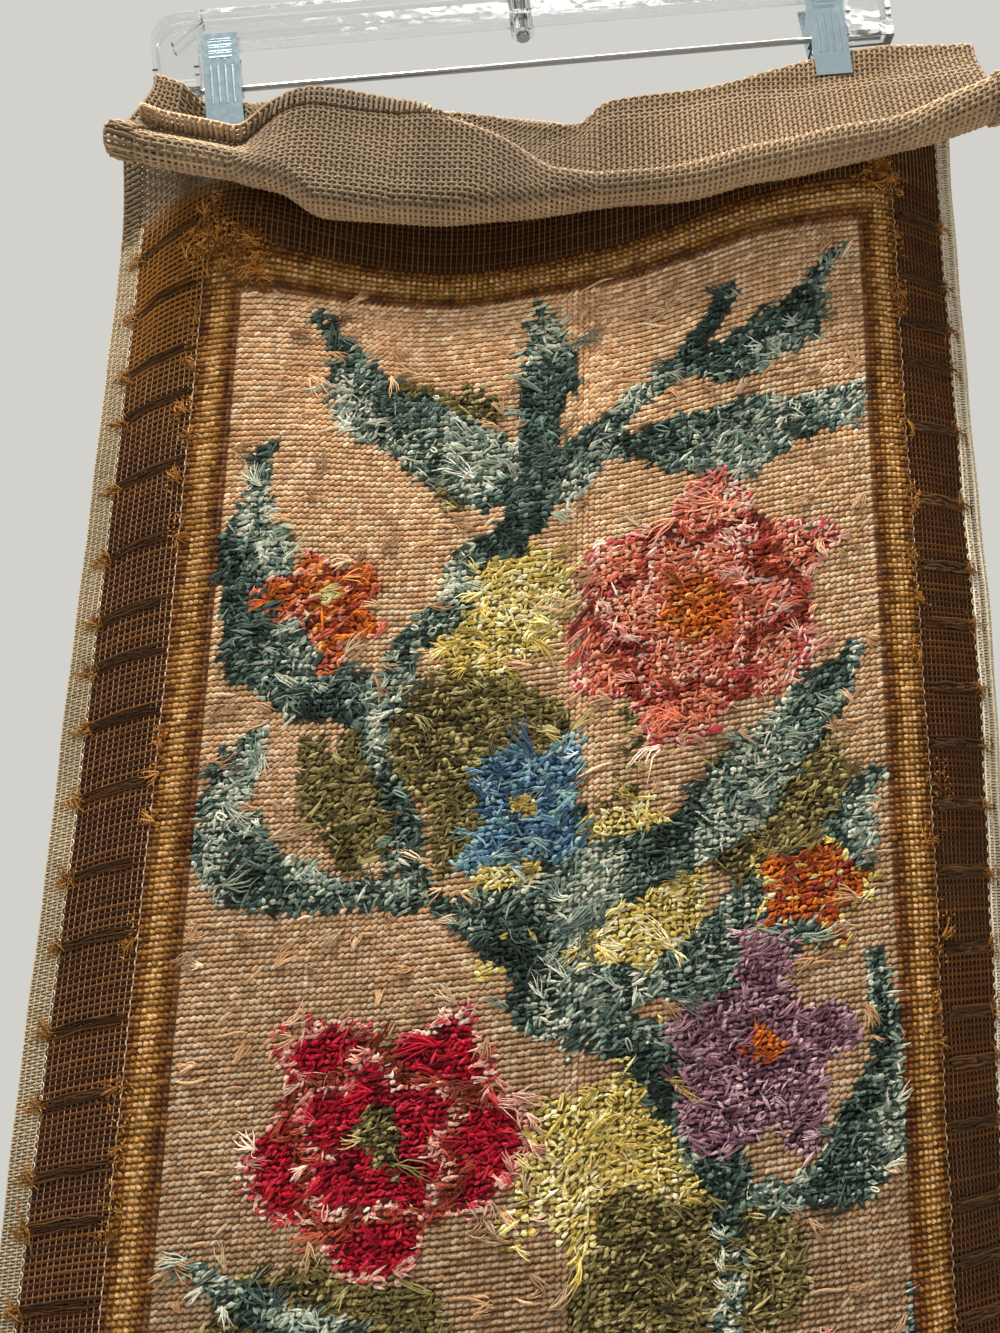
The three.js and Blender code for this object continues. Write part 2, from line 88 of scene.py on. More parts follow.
# the same stations as the solids have: across is the share of the width, places are from the rod's middle
crestStations = readTable("across x z y", [
    (0.00, -172.7, -23.5, -12), (0.035, -162, -27.5, -11), (0.05, -156.5, -29.5, -4),
    (0.062, -152, -30, 0), (0.11, -132.5, -30, 0), (0.15, -116, -28, -1), (0.25, -77, -31, 2),
    (0.35, -38, -29, 4), (0.45, 1, -33, 4), (0.51, 24, -35, 3), (0.55, 39, -25, -2),
    (0.66, 83, -18, -4), (0.76, 121, -5, -2), (0.80, 136, 1.5, 0), (0.85, 156, 7.5, 0),
    (0.90, 176, 10.5, -1), (1.00, 213, 11.5, -3),
])
flapStations = readTable("across flare hold tuckY tuckZ bend rise stand curlR curl hem", [
    (0.000, -12, 4, -33, -75, 5.5, 150, 12, 3.5, 30, 5),
    (0.060, -2, 18, -24.5, -78.5, 6, 145, 12, 3.5, 25, 5),
    (0.110, 0, 18, -24, -82, 6, 145, 12, 3.5, 25, 5),
    (0.135, 0, 10, -23, -85, 6.5, 122, 24, 4, 45, 5),
    (0.165, 0, 6, -21, -86, 7.5, 108, 38, 6, 80, 4),
    (0.220, 0, 4, -18, -95, 8, 103, 52, 6, 75, 4),
    (0.285, 0, 4, -17, -96, 8, 103, 52, 6, 95, 4),
    (0.345, 0, 4, -17, -96, 8, 100, 44, 6, 160, 5),
    (0.395, 0, 4, -17.5, -95, 8, 100, 33, 6, 225, 6),
    (0.436, 0, 5, -17.5, -94, 8, 98, 21, 6, 260, 6),
    (0.487, 0, 5, -18.5, -91, 8, 96, 5, 6, 280, 6),
    (0.540, 0, 5, -19, -88, 7.5, 95, 1.5, 5, 285, 5),
    (0.640, 0, 5, -20.5, -82, 7.5, 95, 1, 5, 290, 5),
    (0.715, 0, 6, -22.5, -74.5, 7.5, 95, 1, 5, 290, 5),
    (0.790, 0, 13, -24, -69, 7.5, 95, 2, 5, 290, 5),
    (0.860, 0, 13, -25.5, -62.5, 7.5, 95, 2, 5, 290, 5),
    (0.930, 1, 5, -28, -54.5, 9, 95, 2, 6, 290, 6),
    (1.000, 4, 3, -31, -44, 9.5, 95, 2, 6.5, 290, 6),
])
panelStations = readTable("across x y topRow", [
    (0.00, -188.5, 12, -93), (0.03, -177, 8, -88), (0.06, -165, 5, -78), (0.11, -145, 1, -71),
    (0.15, -130, -1, -71), (0.36, -44, -2, -79), (0.56, 39, -2, -66), (0.74, 113, -2, -34),
    (0.85, 157.5, 0, -22), (0.89, 172, 5, -20), (0.97, 199, 21, -17), (1.00, 209, 30, -15),
])
swells = tableRows("across down wide tall depth", [
    (0.16, 22, 0.07, 26, -11), (0.42, 18, 0.16, 34, 9), (0.72, 60, 0.12, 60, -5),
    (0.24, 150, 0.10, 120, -5), (0.50, 330, 0.14, 200, -7), (0.74, 300, 0.08, 220, 5),
    (0.00, 560, 0.12, 200, 13), (1.00, 520, 0.12, 150, 14), (0.30, 620, 0.14, 220, 6),
    (0.66, 640, 0.14, 200, -6),
])


def linearColour(hexText):
    channels = [int(hexText[i:i + 2], 16) / 255 for i in (0, 2, 4)]
    return np.array([c / 12.92 if c <= 0.04045 else ((c + 0.055) / 1.055) ** 2.4 for c in channels] + [1.0])


# a colour made lighter or darker, its alpha kept
def shaded(colour, tone):
    tone = np.asarray(tone, float)[..., None]
    return colour * np.concatenate([tone, tone, tone, np.ones_like(tone)], -1)


def smooth(t):
    c = np.clip(t, 0, 1)
    return c * c * (3 - 2 * c)


def mix(a, b, t):
    return a + (b - a) * t


def unit(vectors):
    return vectors / np.maximum(np.linalg.norm(vectors, axis=-1, keepdims=True), 1e-9)


# a smooth curve through one column of a table, without overshoot
def along(table, name, across):
    at, value = table["across"], table[name]
    rise = np.diff(value) / np.diff(at)
    product, total = rise[:-1] * rise[1:], rise[:-1] + rise[1:]
    inner = np.where(product > 0, 2 * product / np.where(product > 0, total, 1), 0)
    tangent = np.concatenate([rise[:1], inner, rise[-1:]])
    i = np.clip(np.searchsorted(at, across, side="right") - 1, 0, len(at) - 2)
    span = at[i + 1] - at[i]
    t = (across - at[i]) / span
    s = 1 - t
    return (value[i] * s * s * (1 + 2 * t) + tangent[i] * span * t * s * s
            + value[i + 1] * t * t * (3 - 2 * t) - tangent[i + 1] * span * t * t * s)


# the cloth's middle surface: a column for each thread, and a place every step along the thread,
# counted from the back of the top fold, down the panel as minus and over the fold as plus
across = np.linspace(0, 1, threads + 1)
crestUp = along(crestStations, "z", across) - along(panelStations, "topRow", across)
firstStep = -(crestUp.max() + worked + cloth["bottomMargin"] + 4)


def hangingPanel(steps):
    share = (crestUp[:, None] + steps[None, :]) / crestUp[:, None]
    up = share * crestUp[:, None]
    panelX, crestX, topRow, depth, crestY = [along(table, name, across)[:, None] for table, name in (
        (panelStations, "x"), (crestStations, "x"), (panelStations, "topRow"), (panelStations, "y"),
        (crestStations, "y"))]
    middleX, middleRow = along(panelStations, "x", 0.5), along(panelStations, "topRow", 0.5)
    straight = middleRow + math.tan(math.radians(cloth["skew"])) * (panelX - middleX)
    z = straight + up + (topRow - straight) * np.exp(np.minimum(0, up) / cloth["settle"])
    depth = np.repeat(depth, len(steps), 1)
    for swell in swells:
        u = (across[:, None] - swell["across"]) / swell["wide"]
        v = (-up - swell["down"]) / swell["tall"]
        depth = depth + swell["depth"] * np.exp(-u * u - v * v)
    spread = cloth["spread"]
    x = (mix(panelX, crestX, smooth(2 * share - 1))
         - spread["left"] * (1 - across[:, None]) ** 3 * smooth(-up / spread["leftLength"])
         + spread["right"] * across[:, None] ** 3 * smooth(-up / spread["rightLength"]))
    y = mix(depth, crestY + cloth["foldRadius"], smooth(share))
    return np.stack([x, y, z], -1)


# the flap in front, from the way that it heads: 0 is forwards, 90 is up
def foldedFlap(steps):
    places, lengths = [], []
    radius = cloth["foldRadius"]
    for share in across:
        at = {name: float(along(flapStations, name, share)) for name in flapStations}
        crest = {name: float(along(crestStations, name, share)) for name in crestStations}
        inY, inZ = crest["y"] - radius - at["tuckY"], at["tuckZ"] - (crest["z"] - at["hold"])
        down = math.degrees(math.atan2(inZ, inY))
        runs = [(math.pi * radius, 90, -90), (at["hold"], -90, -90), (math.hypot(inY, inZ), down, down),
                (at["bend"] * math.radians(at["rise"] - down), down, at["rise"]),
                (at["stand"], at["rise"], at["rise"]),
                (at["curlR"] * math.radians(abs(at["curl"] - at["rise"])), at["rise"], at["curl"]),
                (at["hem"], at["curl"], at["curl"])]
        ends = np.cumsum([run[0] for run in runs])
        lengths.append(ends[-1])
        knots = np.ravel([[end - run[0] + 0.01, end] for run, end in zip(runs, ends)])
        heading = np.interp(steps, knots, np.ravel([run[1:] for run in runs]))
        soft = np.convolve(np.pad(heading, 3, mode="edge"), np.ones(7) / 7, "valid")
        heading = np.radians(mix(heading, soft, smooth((steps - ends[0]) / 4)))
        middle = (heading[1:] + heading[:-1]) / 2
        stride = np.diff(steps)
        y = crest["y"] + radius - np.concatenate([[0], np.cumsum(np.cos(middle) * stride)])
        z = crest["z"] + np.concatenate([[0], np.cumsum(np.sin(middle) * stride)])
        outward = smooth((steps - ends[0]) / (ends[2] - ends[0]))
        back = smooth((steps - ends[3]) / (ends[5] - ends[3]))
        places.append(np.stack([crest["x"] + at["flare"] * outward * (1 - back), y, z], -1))
    return np.array(places), np.array(lengths)


panelSteps = np.arange(firstStep, 0, cloth["step"])
flapSteps = np.arange(0, cloth["flapReach"], cloth["step"]) + (panelSteps[-1] + cloth["step"])
flapSteps[0] = max(flapSteps[0], 0)
flapPlaces, clothEnd = foldedFlap(flapSteps)
surface = np.concatenate([hangingPanel(panelSteps), flapPlaces], 1) + rodMiddle
outwards = unit(np.cross(np.gradient(surface, axis=0), np.gradient(surface, axis=1)))
waveAcross, waveAlong = np.meshgrid(across * cloth["width"], np.arange(surface.shape[1]), indexing="ij")
ripple = (np.sin(waveAcross / 9 + waveAlong / 31) * np.sin(waveAlong / 13 + 1)
          + np.sin(waveAcross / 23 - waveAlong / 47 + 2))
surface = surface + outwards * (cloth["ripple"] * ripple)[..., None]
acrossWay, alongWay = unit(np.gradient(surface, axis=0)), unit(np.gradient(surface, axis=1))
outwards = unit(np.cross(acrossWay, alongWay))


# values of a grid at any thread (counted from the left) and any place along it
def between(grid, thread, place):
    i = np.clip(thread, 0, threads)
    k = np.clip((place - firstStep) / cloth["step"], 0, grid.shape[1] - 1.001)
    i0 = np.minimum(np.floor(i).astype(int), threads - 1)
    k0 = np.floor(k).astype(int)
    u, v = (i - i0)[..., None], (k - k0)[..., None]
    low = grid[i0, k0] * (1 - u) + grid[i0 + 1, k0] * u
    high = grid[i0, k0 + 1] * (1 - u) + grid[i0 + 1, k0 + 1] * u
    return low * (1 - v) + high * v


# a place on the cloth in metres, lifted out of its middle surface towards the panel's shown side
def onCloth(thread, place, lift=0.0):
    lifted = between(surface, thread, place) + between(outwards, thread, place) * np.asarray(lift)[..., None]
    return lifted * mm


def rowPlace(thread, row):          # row 0 is the top of the stitching, the next rows go down
    return -np.interp(thread, np.arange(threads + 1), crestUp) - np.asarray(row) * pitch


def cuffPlace(thread, row):         # rows of the folded top, counted from its free edge
    return np.interp(thread, np.arange(threads + 1), clothEnd) - np.asarray(row) * pitch


print("surface worked out")


# sets a node's inputs, or links them where the value is another node or one of its outputs
def setInputs(tree, node, inputs):
    for name, value in inputs.items():
        if isinstance(value, bpy.types.Node):
            value = value.outputs[0]
        if isinstance(value, bpy.types.NodeSocket):
            tree.links.new(value, node.inputs[name])
        else:
            node.inputs[name].default_value = value


def addNode(tree, kind, inputs=None, **settings):
    node = tree.nodes.new(kind)
    for name, value in settings.items():
        setattr(node, name, value)
    setInputs(tree, node, inputs or {})
    return node


# small helpers for meshes and objects
def addObject(name, data):
    thing = bpy.data.objects.new(name, data)
    bpy.context.scene.collection.objects.link(thing)
    return thing


def setAttribute(mesh, name, kind, values):
    field = {"FLOAT": "value", "FLOAT_VECTOR": "vector", "FLOAT_COLOR": "color"}[kind]
    attribute = mesh.attributes.new(name, kind, "POINT")
    attribute.data.foreach_set(field, np.ascontiguousarray(values, np.float32).ravel())


def setColours(mesh, colours):
    setAttribute(mesh, "yarnColour", "FLOAT_COLOR", colours)


def meshOfPoints(name, places):
    mesh = bpy.data.meshes.new(name)
    mesh.vertices.add(len(places))
    mesh.vertices.foreach_set("co", places.astype(np.float32).ravel())
    return mesh


# materials
def newMaterial(name):
    material = bpy.data.materials.new(name)
    material.use_nodes = True
    tree = material.node_tree
    return material, tree, tree.nodes["Principled BSDF"]


# a dyed or bare yarn, matt: lighter and darker from ply to ply and fibre to fibre. Sizes are in millimetres
def makeYarn(name, fibre, patchy, depth, sheen):
    values = {"plies": (7, 8, 0), "plyShare": 0.12, "patch": 45, "dark": 0.68, "light": 1.32}
    material, tree, shader = newMaterial(name)
    where = addNode(tree, "ShaderNodeTexCoord").outputs["Object"]
    spot = addNode(tree, "ShaderNodeAttribute", attribute_name="grainSpot").outputs["Vector"]
    over = addNode(tree, "ShaderNodeVectorMath", {0: spot, 1: values["plies"]}, operation="DOT_PRODUCT")
    plies = addNode(tree, "ShaderNodeMath", {0: over.outputs["Value"]}, operation="SINE")
    fuzz = addNode(tree, "ShaderNodeTexNoise", {"Vector": where, "Scale": 1 / (fibre * mm), "Detail": 3.0})
    fibres = addNode(tree, "ShaderNodeMath", {0: plies, 1: values["plyShare"], 2: fuzz},
                     operation="MULTIPLY_ADD")
    blotches = addNode(tree, "ShaderNodeTexNoise", {"Vector": where, "Scale": 1 / (values["patch"] * mm)})
    fine = addNode(tree, "ShaderNodeMapRange", {
        "Value": fibres, "From Min": 0.3, "From Max": 0.7,
        "To Min": values["dark"], "To Max": values["light"]})
    wide = addNode(tree, "ShaderNodeMapRange", {
        "Value": blotches, "From Min": 0.3, "From Max": 0.7, "To Min": 1 - patchy, "To Max": 1 + patchy})
    tone = addNode(tree, "ShaderNodeMath", {0: fine, 1: wide}, operation="MULTIPLY")
    colour = addNode(tree, "ShaderNodeAttribute", attribute_name="yarnColour")
    toned = addNode(tree, "ShaderNodeVectorMath", {0: colour, "Scale": tone}, operation="SCALE")
    relief = addNode(tree, "ShaderNodeBump", {"Height": fibres, "Strength": 0.7, "Distance": depth * mm})
    setInputs(tree, shader, {
        "Base Color": toned, "Roughness": 0.9, "IOR": 1.54, "Specular IOR Level": 0.2, "Normal": relief,
        "Sheen Weight": sheen, "Sheen Roughness": 0.5, "Sheen Tint": toned})
    return material


# a sheet of stitches or threads a pitch apart: each swells up, with painted shade in the seams and faint
# painted light on top
def makeGridSheet(name, paintedSeamShade, depth):
    material, tree, shader = newMaterial(name)
    spot = addNode(tree, "ShaderNodeUVMap", uv_map="clothMap")
    parts = addNode(tree, "ShaderNodeSeparateXYZ", {"Vector": spot})
    waves = []
    for axis in "XY":
        turn = addNode(tree, "ShaderNodeMath", {0: parts.outputs[axis], 1: math.pi}, operation="MULTIPLY")
        wave = addNode(tree, "ShaderNodeMath", {0: turn}, operation="SINE")
        waves.append(addNode(tree, "ShaderNodeMath", {0: wave}, operation="ABSOLUTE"))
    swell = addNode(tree, "ShaderNodeMath", {0: waves[0], 1: waves[1]}, operation="MULTIPLY")
    tone = addNode(tree, "ShaderNodeMapRange", {
        "Value": swell, "From Min": 0.0, "From Max": 0.8, "To Min": paintedSeamShade, "To Max": 1.1})
    colour = addNode(tree, "ShaderNodeAttribute", attribute_name="yarnColour")
    toned = addNode(tree, "ShaderNodeVectorMath", {0: colour, "Scale": tone}, operation="SCALE")
    relief = addNode(tree, "ShaderNodeBump", {"Height": swell, "Strength": 0.8, "Distance": depth * mm})
    setInputs(tree, shader, {
        "Base Color": toned, "Roughness": 0.92, "Specular IOR Level": 0.2, "Normal": relief})
    return material


# clear polystyrene, moulded: glassy, with flow marks that waver and a faint haze from handling
def makeClearPlastic():
    values = {"flow": 14, "clear": 0.02, "hazy": 0.10, "depth": 1.2}
    material, tree, shader = newMaterial("clearPolystyrene")
    where = addNode(tree, "ShaderNodeTexCoord").outputs["Object"]
    flow = addNode(tree, "ShaderNodeTexNoise", {"Vector": where, "Scale": 1 / (values["flow"] * mm)})
    haze = addNode(tree, "ShaderNodeMapRange", {
        "Value": flow, "From Min": 0.3, "From Max": 0.7, "To Min": values["clear"], "To Max": values["hazy"]})
    marks = addNode(tree, "ShaderNodeBump", {
        "Height": flow, "Strength": 0.28, "Distance": values["depth"] * mm})
    setInputs(tree, shader, {
        "Base Color": linearColour("f1f4f4"), "IOR": 1.59, "Transmission Weight": 1.0, "Roughness": haze,
        "Normal": marks})
    return material


# steel: its own tone, with a grain that breaks up the highlight
def makeSteel(name, colour, roughness, grit):
    material, tree, shader = newMaterial(name)
    where = addNode(tree, "ShaderNodeTexCoord").outputs["Object"]
    wear = addNode(tree, "ShaderNodeTexNoise", {"Vector": where, "Scale": 1 / (grit * mm), "Detail": 4.0})
    rough = addNode(tree, "ShaderNodeMapRange", {
        "Value": wear, "From Min": 0.3, "From Max": 0.7,
        "To Min": roughness - 0.04, "To Max": roughness + 0.05})
    grain = addNode(tree, "ShaderNodeBump", {"Height": wear, "Strength": 0.15, "Distance": 0.1 * mm})
    setInputs(tree, shader, {
        "Base Color": linearColour(colour), "Metallic": 1.0, "Roughness": rough, "Normal": grain})
    return material


wool = makeYarn("tapestryWool", 0.7, 0.08, 0.25, 0.12)               # matt and fuzzy, deep colours
canvasThread = makeYarn("sizedCottonThread", 0.5, 0.10, 0.12, 0.0)   # dry and even, a little aged
stitchedSheet = makeGridSheet("stitchedWoolSheet", 0.42, 0.9)        # the even stitches of the right side
canvasSheet = makeGridSheet("bareCanvasSheet", 0.6, 0.4)             # the flat weave of the bare margins
metals = {
    "clip_steel": makeSteel("platedStampedSteel", "b0c3cc", 0.18, 3),    # pale, bluish, satin
    "hanger_steel": makeSteel("drawnSteelWire", "8b8d8c", 0.30, 1.5),    # grey, brighter along its top
    "spring_steel": makeSteel("springSteelWire", "565b5e", 0.35, 1),     # darker, nearly blued
}
clearPlastic = makeClearPlastic()
print("materials made")


# a tree that takes a mesh, one input of its own and a material
def startTree(name, extra, kind):
    tree = bpy.data.node_groups.new(name, "GeometryNodeTree")
    tree.interface.new_socket("Geometry", in_out="OUTPUT", socket_type="NodeSocketGeometry")
    sockets = [tree.interface.new_socket(label, in_out="INPUT", socket_type="NodeSocket" + socketKind)
               for label, socketKind in (("Geometry", "Geometry"), (extra, kind), ("Material", "Material"))]
    return tree, addNode(tree, "NodeGroupInput").outputs, [socket.identifier for socket in sockets[1:]]


def finishTree(tree, given, geometry):
    real = addNode(tree, "GeometryNodeRealizeInstances", {"Geometry": geometry})
    dressed = addNode(tree, "GeometryNodeSetMaterial", {"Geometry": real, "Material": given["Material"]})
    addNode(tree, "NodeGroupOutput", {"Geometry": dressed})


# one tree makes lines into round threads, each point with its own thickness
def threadTree():
    tree, given, identifiers = startTree("roundThread", "Sides", "Int")
    lines = addNode(tree, "GeometryNodeMeshToCurve", {"Mesh": given["Geometry"]})
    ring = addNode(tree, "GeometryNodeCurvePrimitiveCircle", {"Resolution": given["Sides"], "Radius": 1.0})
    thick = addNode(tree, "GeometryNodeInputNamedAttribute", {"Name": "thickness"}, data_type="FLOAT")
    tube = addNode(tree, "GeometryNodeCurveToMesh", {
        "Curve": lines, "Profile Curve": ring, "Scale": thick.outputs["Attribute"], "Fill Caps": True})
    finishTree(tree, given, tube)
    return tree, identifiers


# the other sets one stitch on every point, turned and sized by the point's own values
def stitchTree():
    tree, given, identifiers = startTree("stitchOnPoint", "Grain", "Object")
    out, way, size = [
        addNode(tree, "GeometryNodeInputNamedAttribute", {"Name": name}, data_type="FLOAT_VECTOR")
        .outputs["Attribute"] for name in ("wayOut", "wayAlong", "size")]
    turn = addNode(tree, "FunctionNodeAxesToRotation", {"Primary Axis": out, "Secondary Axis": way},
                   primary_axis="Z", secondary_axis="X")
    shape = addNode(tree, "GeometryNodeObjectInfo", {"Object": given["Grain"]}).outputs["Geometry"]
    placed = addNode(tree, "GeometryNodeInstanceOnPoints", {
        "Points": given["Geometry"], "Instance": shape, "Rotation": turn, "Scale": size})
    finishTree(tree, given, placed)
    return tree, identifiers


# runs a tree on a mesh of points or lines and keeps the plain mesh that comes out
def grown(name, source, kind, values):
    tree, identifiers = kind
    holder = addObject(name + "Source", source)
    modifier = holder.modifiers.new("grow", "NODES")
    modifier.node_group = tree
    for identifier, value in zip(identifiers, values):
        modifier[identifier] = value
    bpy.context.view_layer.update()
    seen = holder.evaluated_get(bpy.context.evaluated_depsgraph_get())
    mesh = bpy.data.meshes.new_from_object(seen)
    holder.modifiers.remove(modifier)
    bpy.data.objects.remove(holder)
    mesh.name = name
    mesh.shade_smooth()
    return addObject(name, mesh)


roundThread = threadTree()
stitchOnPoint = stitchTree()


# each line is its points in metres, its thickness in millimetres and its colour
def makeLines(name, lines, sides, material):
    sizes = [len(line[0]) for line in lines]
    starts = np.cumsum([0] + sizes[:-1])
    edges = np.concatenate([start + np.stack([np.arange(n - 1), np.arange(1, n)], 1)
                            for n, start in zip(sizes, starts)])
    mesh = meshOfPoints(name + "Lines", np.concatenate([line[0] for line in lines]))
    mesh.edges.add(len(edges))
    mesh.edges.foreach_set("vertices", edges.astype(np.int32).ravel())
    setAttribute(mesh, "thickness", "FLOAT", np.concatenate(
        [np.broadcast_to(np.asarray(line[1], float) / 2 * mm, n) for line, n in zip(lines, sizes)]))
    setColours(mesh, np.concatenate([np.broadcast_to(line[2], (n, 4)) for line, n in zip(lines, sizes)]))
    return grown(name, mesh, roundThread, (sides, material))


# grains set on points of the cloth, each with its own way out and along, size and colour
def planted(name, grain, places, ways, size, colours):
    mesh = meshOfPoints(name + "Points", places)
    for attribute, vectors in zip(("wayOut", "wayAlong", "size"), (*ways, size * mm)):
        setAttribute(mesh, attribute, "FLOAT_VECTOR", vectors)
    setColours(mesh, colours)
    return grown(name, mesh, stitchOnPoint, (grain, wool))


def grainObject(name, places, faces):
    mesh = bpy.data.meshes.new(name)
    mesh.from_pydata(places, [], faces)
    setAttribute(mesh, "grainSpot", "FLOAT_VECTOR", [(x, 2 * y, 0) for x, y, z in places])
    return bpy.data.objects.new(name, mesh)


# half a grain of wool, rounded over the top and blunt at its ends, a unit long, wide and high
def makeGrain():
    arch = [(-0.5, 0), (0, 1), (0.5, 0)]
    places = [(-0.5, 0, 0)] + [(x, y, z) for x in (-0.27, 0.27) for y, z in arch] + [(0.5, 0, 0)]
    faces = []
    for i in range(2):
        faces += [(0, 2 + i, 1 + i), (1 + i, 2 + i, 5 + i, 4 + i), (4 + i, 5 + i, 7)]
    return grainObject("woolGrain", places, faces)


woolGrain = makeGrain()
# a fleck: one short strand of a frayed stitch
woolFleck = grainObject("woolFleck", [(-0.5, 0, 0), (0, -0.5, 0), (0.5, 0, 0), (0, 0.5, 0), (0, 0, 1)],
                        [(i, (i + 1) % 4, 4) for i in range(4)])


# the wool's colours: each dye with its light and dark strands and how often they come
dyes = {
    "brown": {"48270a": 5, "552f0e": 3, "623a14": 1},
    "gold": {"d4a468": 4, "c08c4a": 3, "a57838": 2},
    "ochre": {"96662c": 4, "a97634": 3, "744a1e": 2},
    "redBrown": {"7a4820": 4, "8e5a2a": 3, "5c3414": 2},
    "beige": {"d6ab7e": 5, "e6c49c": 3, "c2976c": 3},
    "teal": {"2a342d": 4, "485a4f": 5, "6c7f70": 4, "aab09a": 3, "d4d2bb": 1},
    "sage": {"4c5c50": 3, "76887a": 4, "9daa98": 3, "c8cab2": 2},
    "crimson": {"8c0c1c": 4, "b8142c": 5, "cf3342": 2, "5e0a14": 1},
    "pink": {"e09a88": 4, "ecbfa8": 3, "c24a48": 3, "f3d4bf": 1},
    "salmon": {"d8785a": 4, "ea9c7c": 4, "b85a40": 2, "f3bf9f": 1},
    "rust": {"8f3b26": 4, "b3503a": 3, "6c2a1c": 2},
    "mauve": {"7b535e": 4, "9a717a": 3, "593945": 2, "c39fa3": 1},
    "lilac": {"ad848a": 3, "caa6a8": 3, "8a6068": 2},
    "blue": {"3b556c": 4, "5d8199": 3, "91aebb": 3, "c1cfcf": 1},
    "yellow": {"d2b65e": 4, "e9d790": 4, "b2984c": 2, "f4e8b8": 2},
    "olive": {"71643a": 4, "8f7f4c": 3, "b2a36c": 2, "504628": 2},
    "orange": {"c05c20": 4, "dc7c30": 3, "96401a": 2, "eba860": 1},
    "paleBlue": {"7fa3a2": 4, "a2beb8": 3, "5c8585": 2, "c9d6c8": 1},
}
dyeCode = {name: i for i, name in enumerate(dyes)}

# the frame round the field, in threads, and the field's design of the builder's own: a bough that
# winds up in an S, with long leaves and open flowers. Its places are threads across and down the field
border = {"margin": 4.5, "brown": 13, "ochre": 6, "redBrown": 2}
chartWidth = 153
margin, band = border["margin"], border["brown"]
ochreEnd = band + border["ochre"]
frameWidth = ochreEnd + border["redBrown"]
bough = readTable("x y", [(22, 236), (60, 206), (90, 168), (66, 126), (30, 102), (27, 66), (56, 36), (88, 6)])
leaves = tableRows("x1 y1 x2 y2 x3 y3 wide", [
    (60, 34, 30, 34, 14, 4, 13), (48, 46, 58, 22, 52, 2, 9), (74, 18, 98, 26, 107, 6, 10),
    (66, 30, 92, 42, 109, 30, 11), (27, 72, 0, 70, 6, 30, 14), (32, 104, -2, 106, 7, 76, 12),
    (44, 108, 84, 108, 107, 74, 14), (62, 122, 96, 128, 109, 96, 12), (78, 136, 44, 128, 62, 92, 10),
    (88, 156, 114, 158, 108, 124, 12), (76, 186, 40, 184, 5, 158, 13), (66, 200, 20, 206, 3, 180, 12),
    (60, 206, 98, 212, 110, 176, 14), (40, 222, 84, 238, 109, 214, 12), (28, 230, 4, 226, 2, 206, 9),
])
patches = tableRows("x y across down dye", [
    (44, 84, 22, 18, "olive"), (60, 108, 20, 14, "yellow"), (96, 100, 15, 13, "olive"),
    (62, 150, 17, 16, "yellow"), (74, 168, 16, 12, "olive"), (26, 172, 20, 12, "olive"),
    (84, 208, 18, 12, "yellow"), (48, 58, 12, 10, "yellow"), (36, 26, 9, 12, "olive"),
])
flowers = tableRows("x y radius petals turn main edge shade middle", [
    (80, 64, 24, 6, 0.4, "salmon", "pink", "rust", "orange"),
    (32, 140, 22, 5, 0.8, "crimson", "pink", "rust", "olive"),
    (88, 136, 16, 5, 0.2, "mauve", "lilac", "mauve", "orange"),
    (52, 92, 12, 4, 0.5, "blue", "paleBlue", "blue", "yellow"),
    (98, 114, 9, 5, 0.0, "orange", "yellow", "rust", "rust"),
    (46, 190, 17, 5, 0.1, "paleBlue", "paleBlue", "blue", "yellow"),
    (88, 192, 16, 5, 0.9, "crimson", "pink", "crimson", "yellow"),
    (20, 208, 14, 5, 0.3, "mauve", "lilac", "mauve", "yellow"),
    (18, 56, 10, 5, 0.6, "orange", "salmon", "rust", "yellow"),
    (70, 222, 14, 6, 0.2, "salmon", "pink", "rust", "yellow"),
])


# an even unevenness, about -1 to 1, of the size given
def waver(x, y, size, seed):
    dice = np.random.RandomState(seed)
    total = 0
    for _ in range(6):
        a, b = dice.normal(0, 1 / size, 2)
        total = total + np.sin(a * x + b * y + dice.rand() * 6.3)
    return total / 2.4


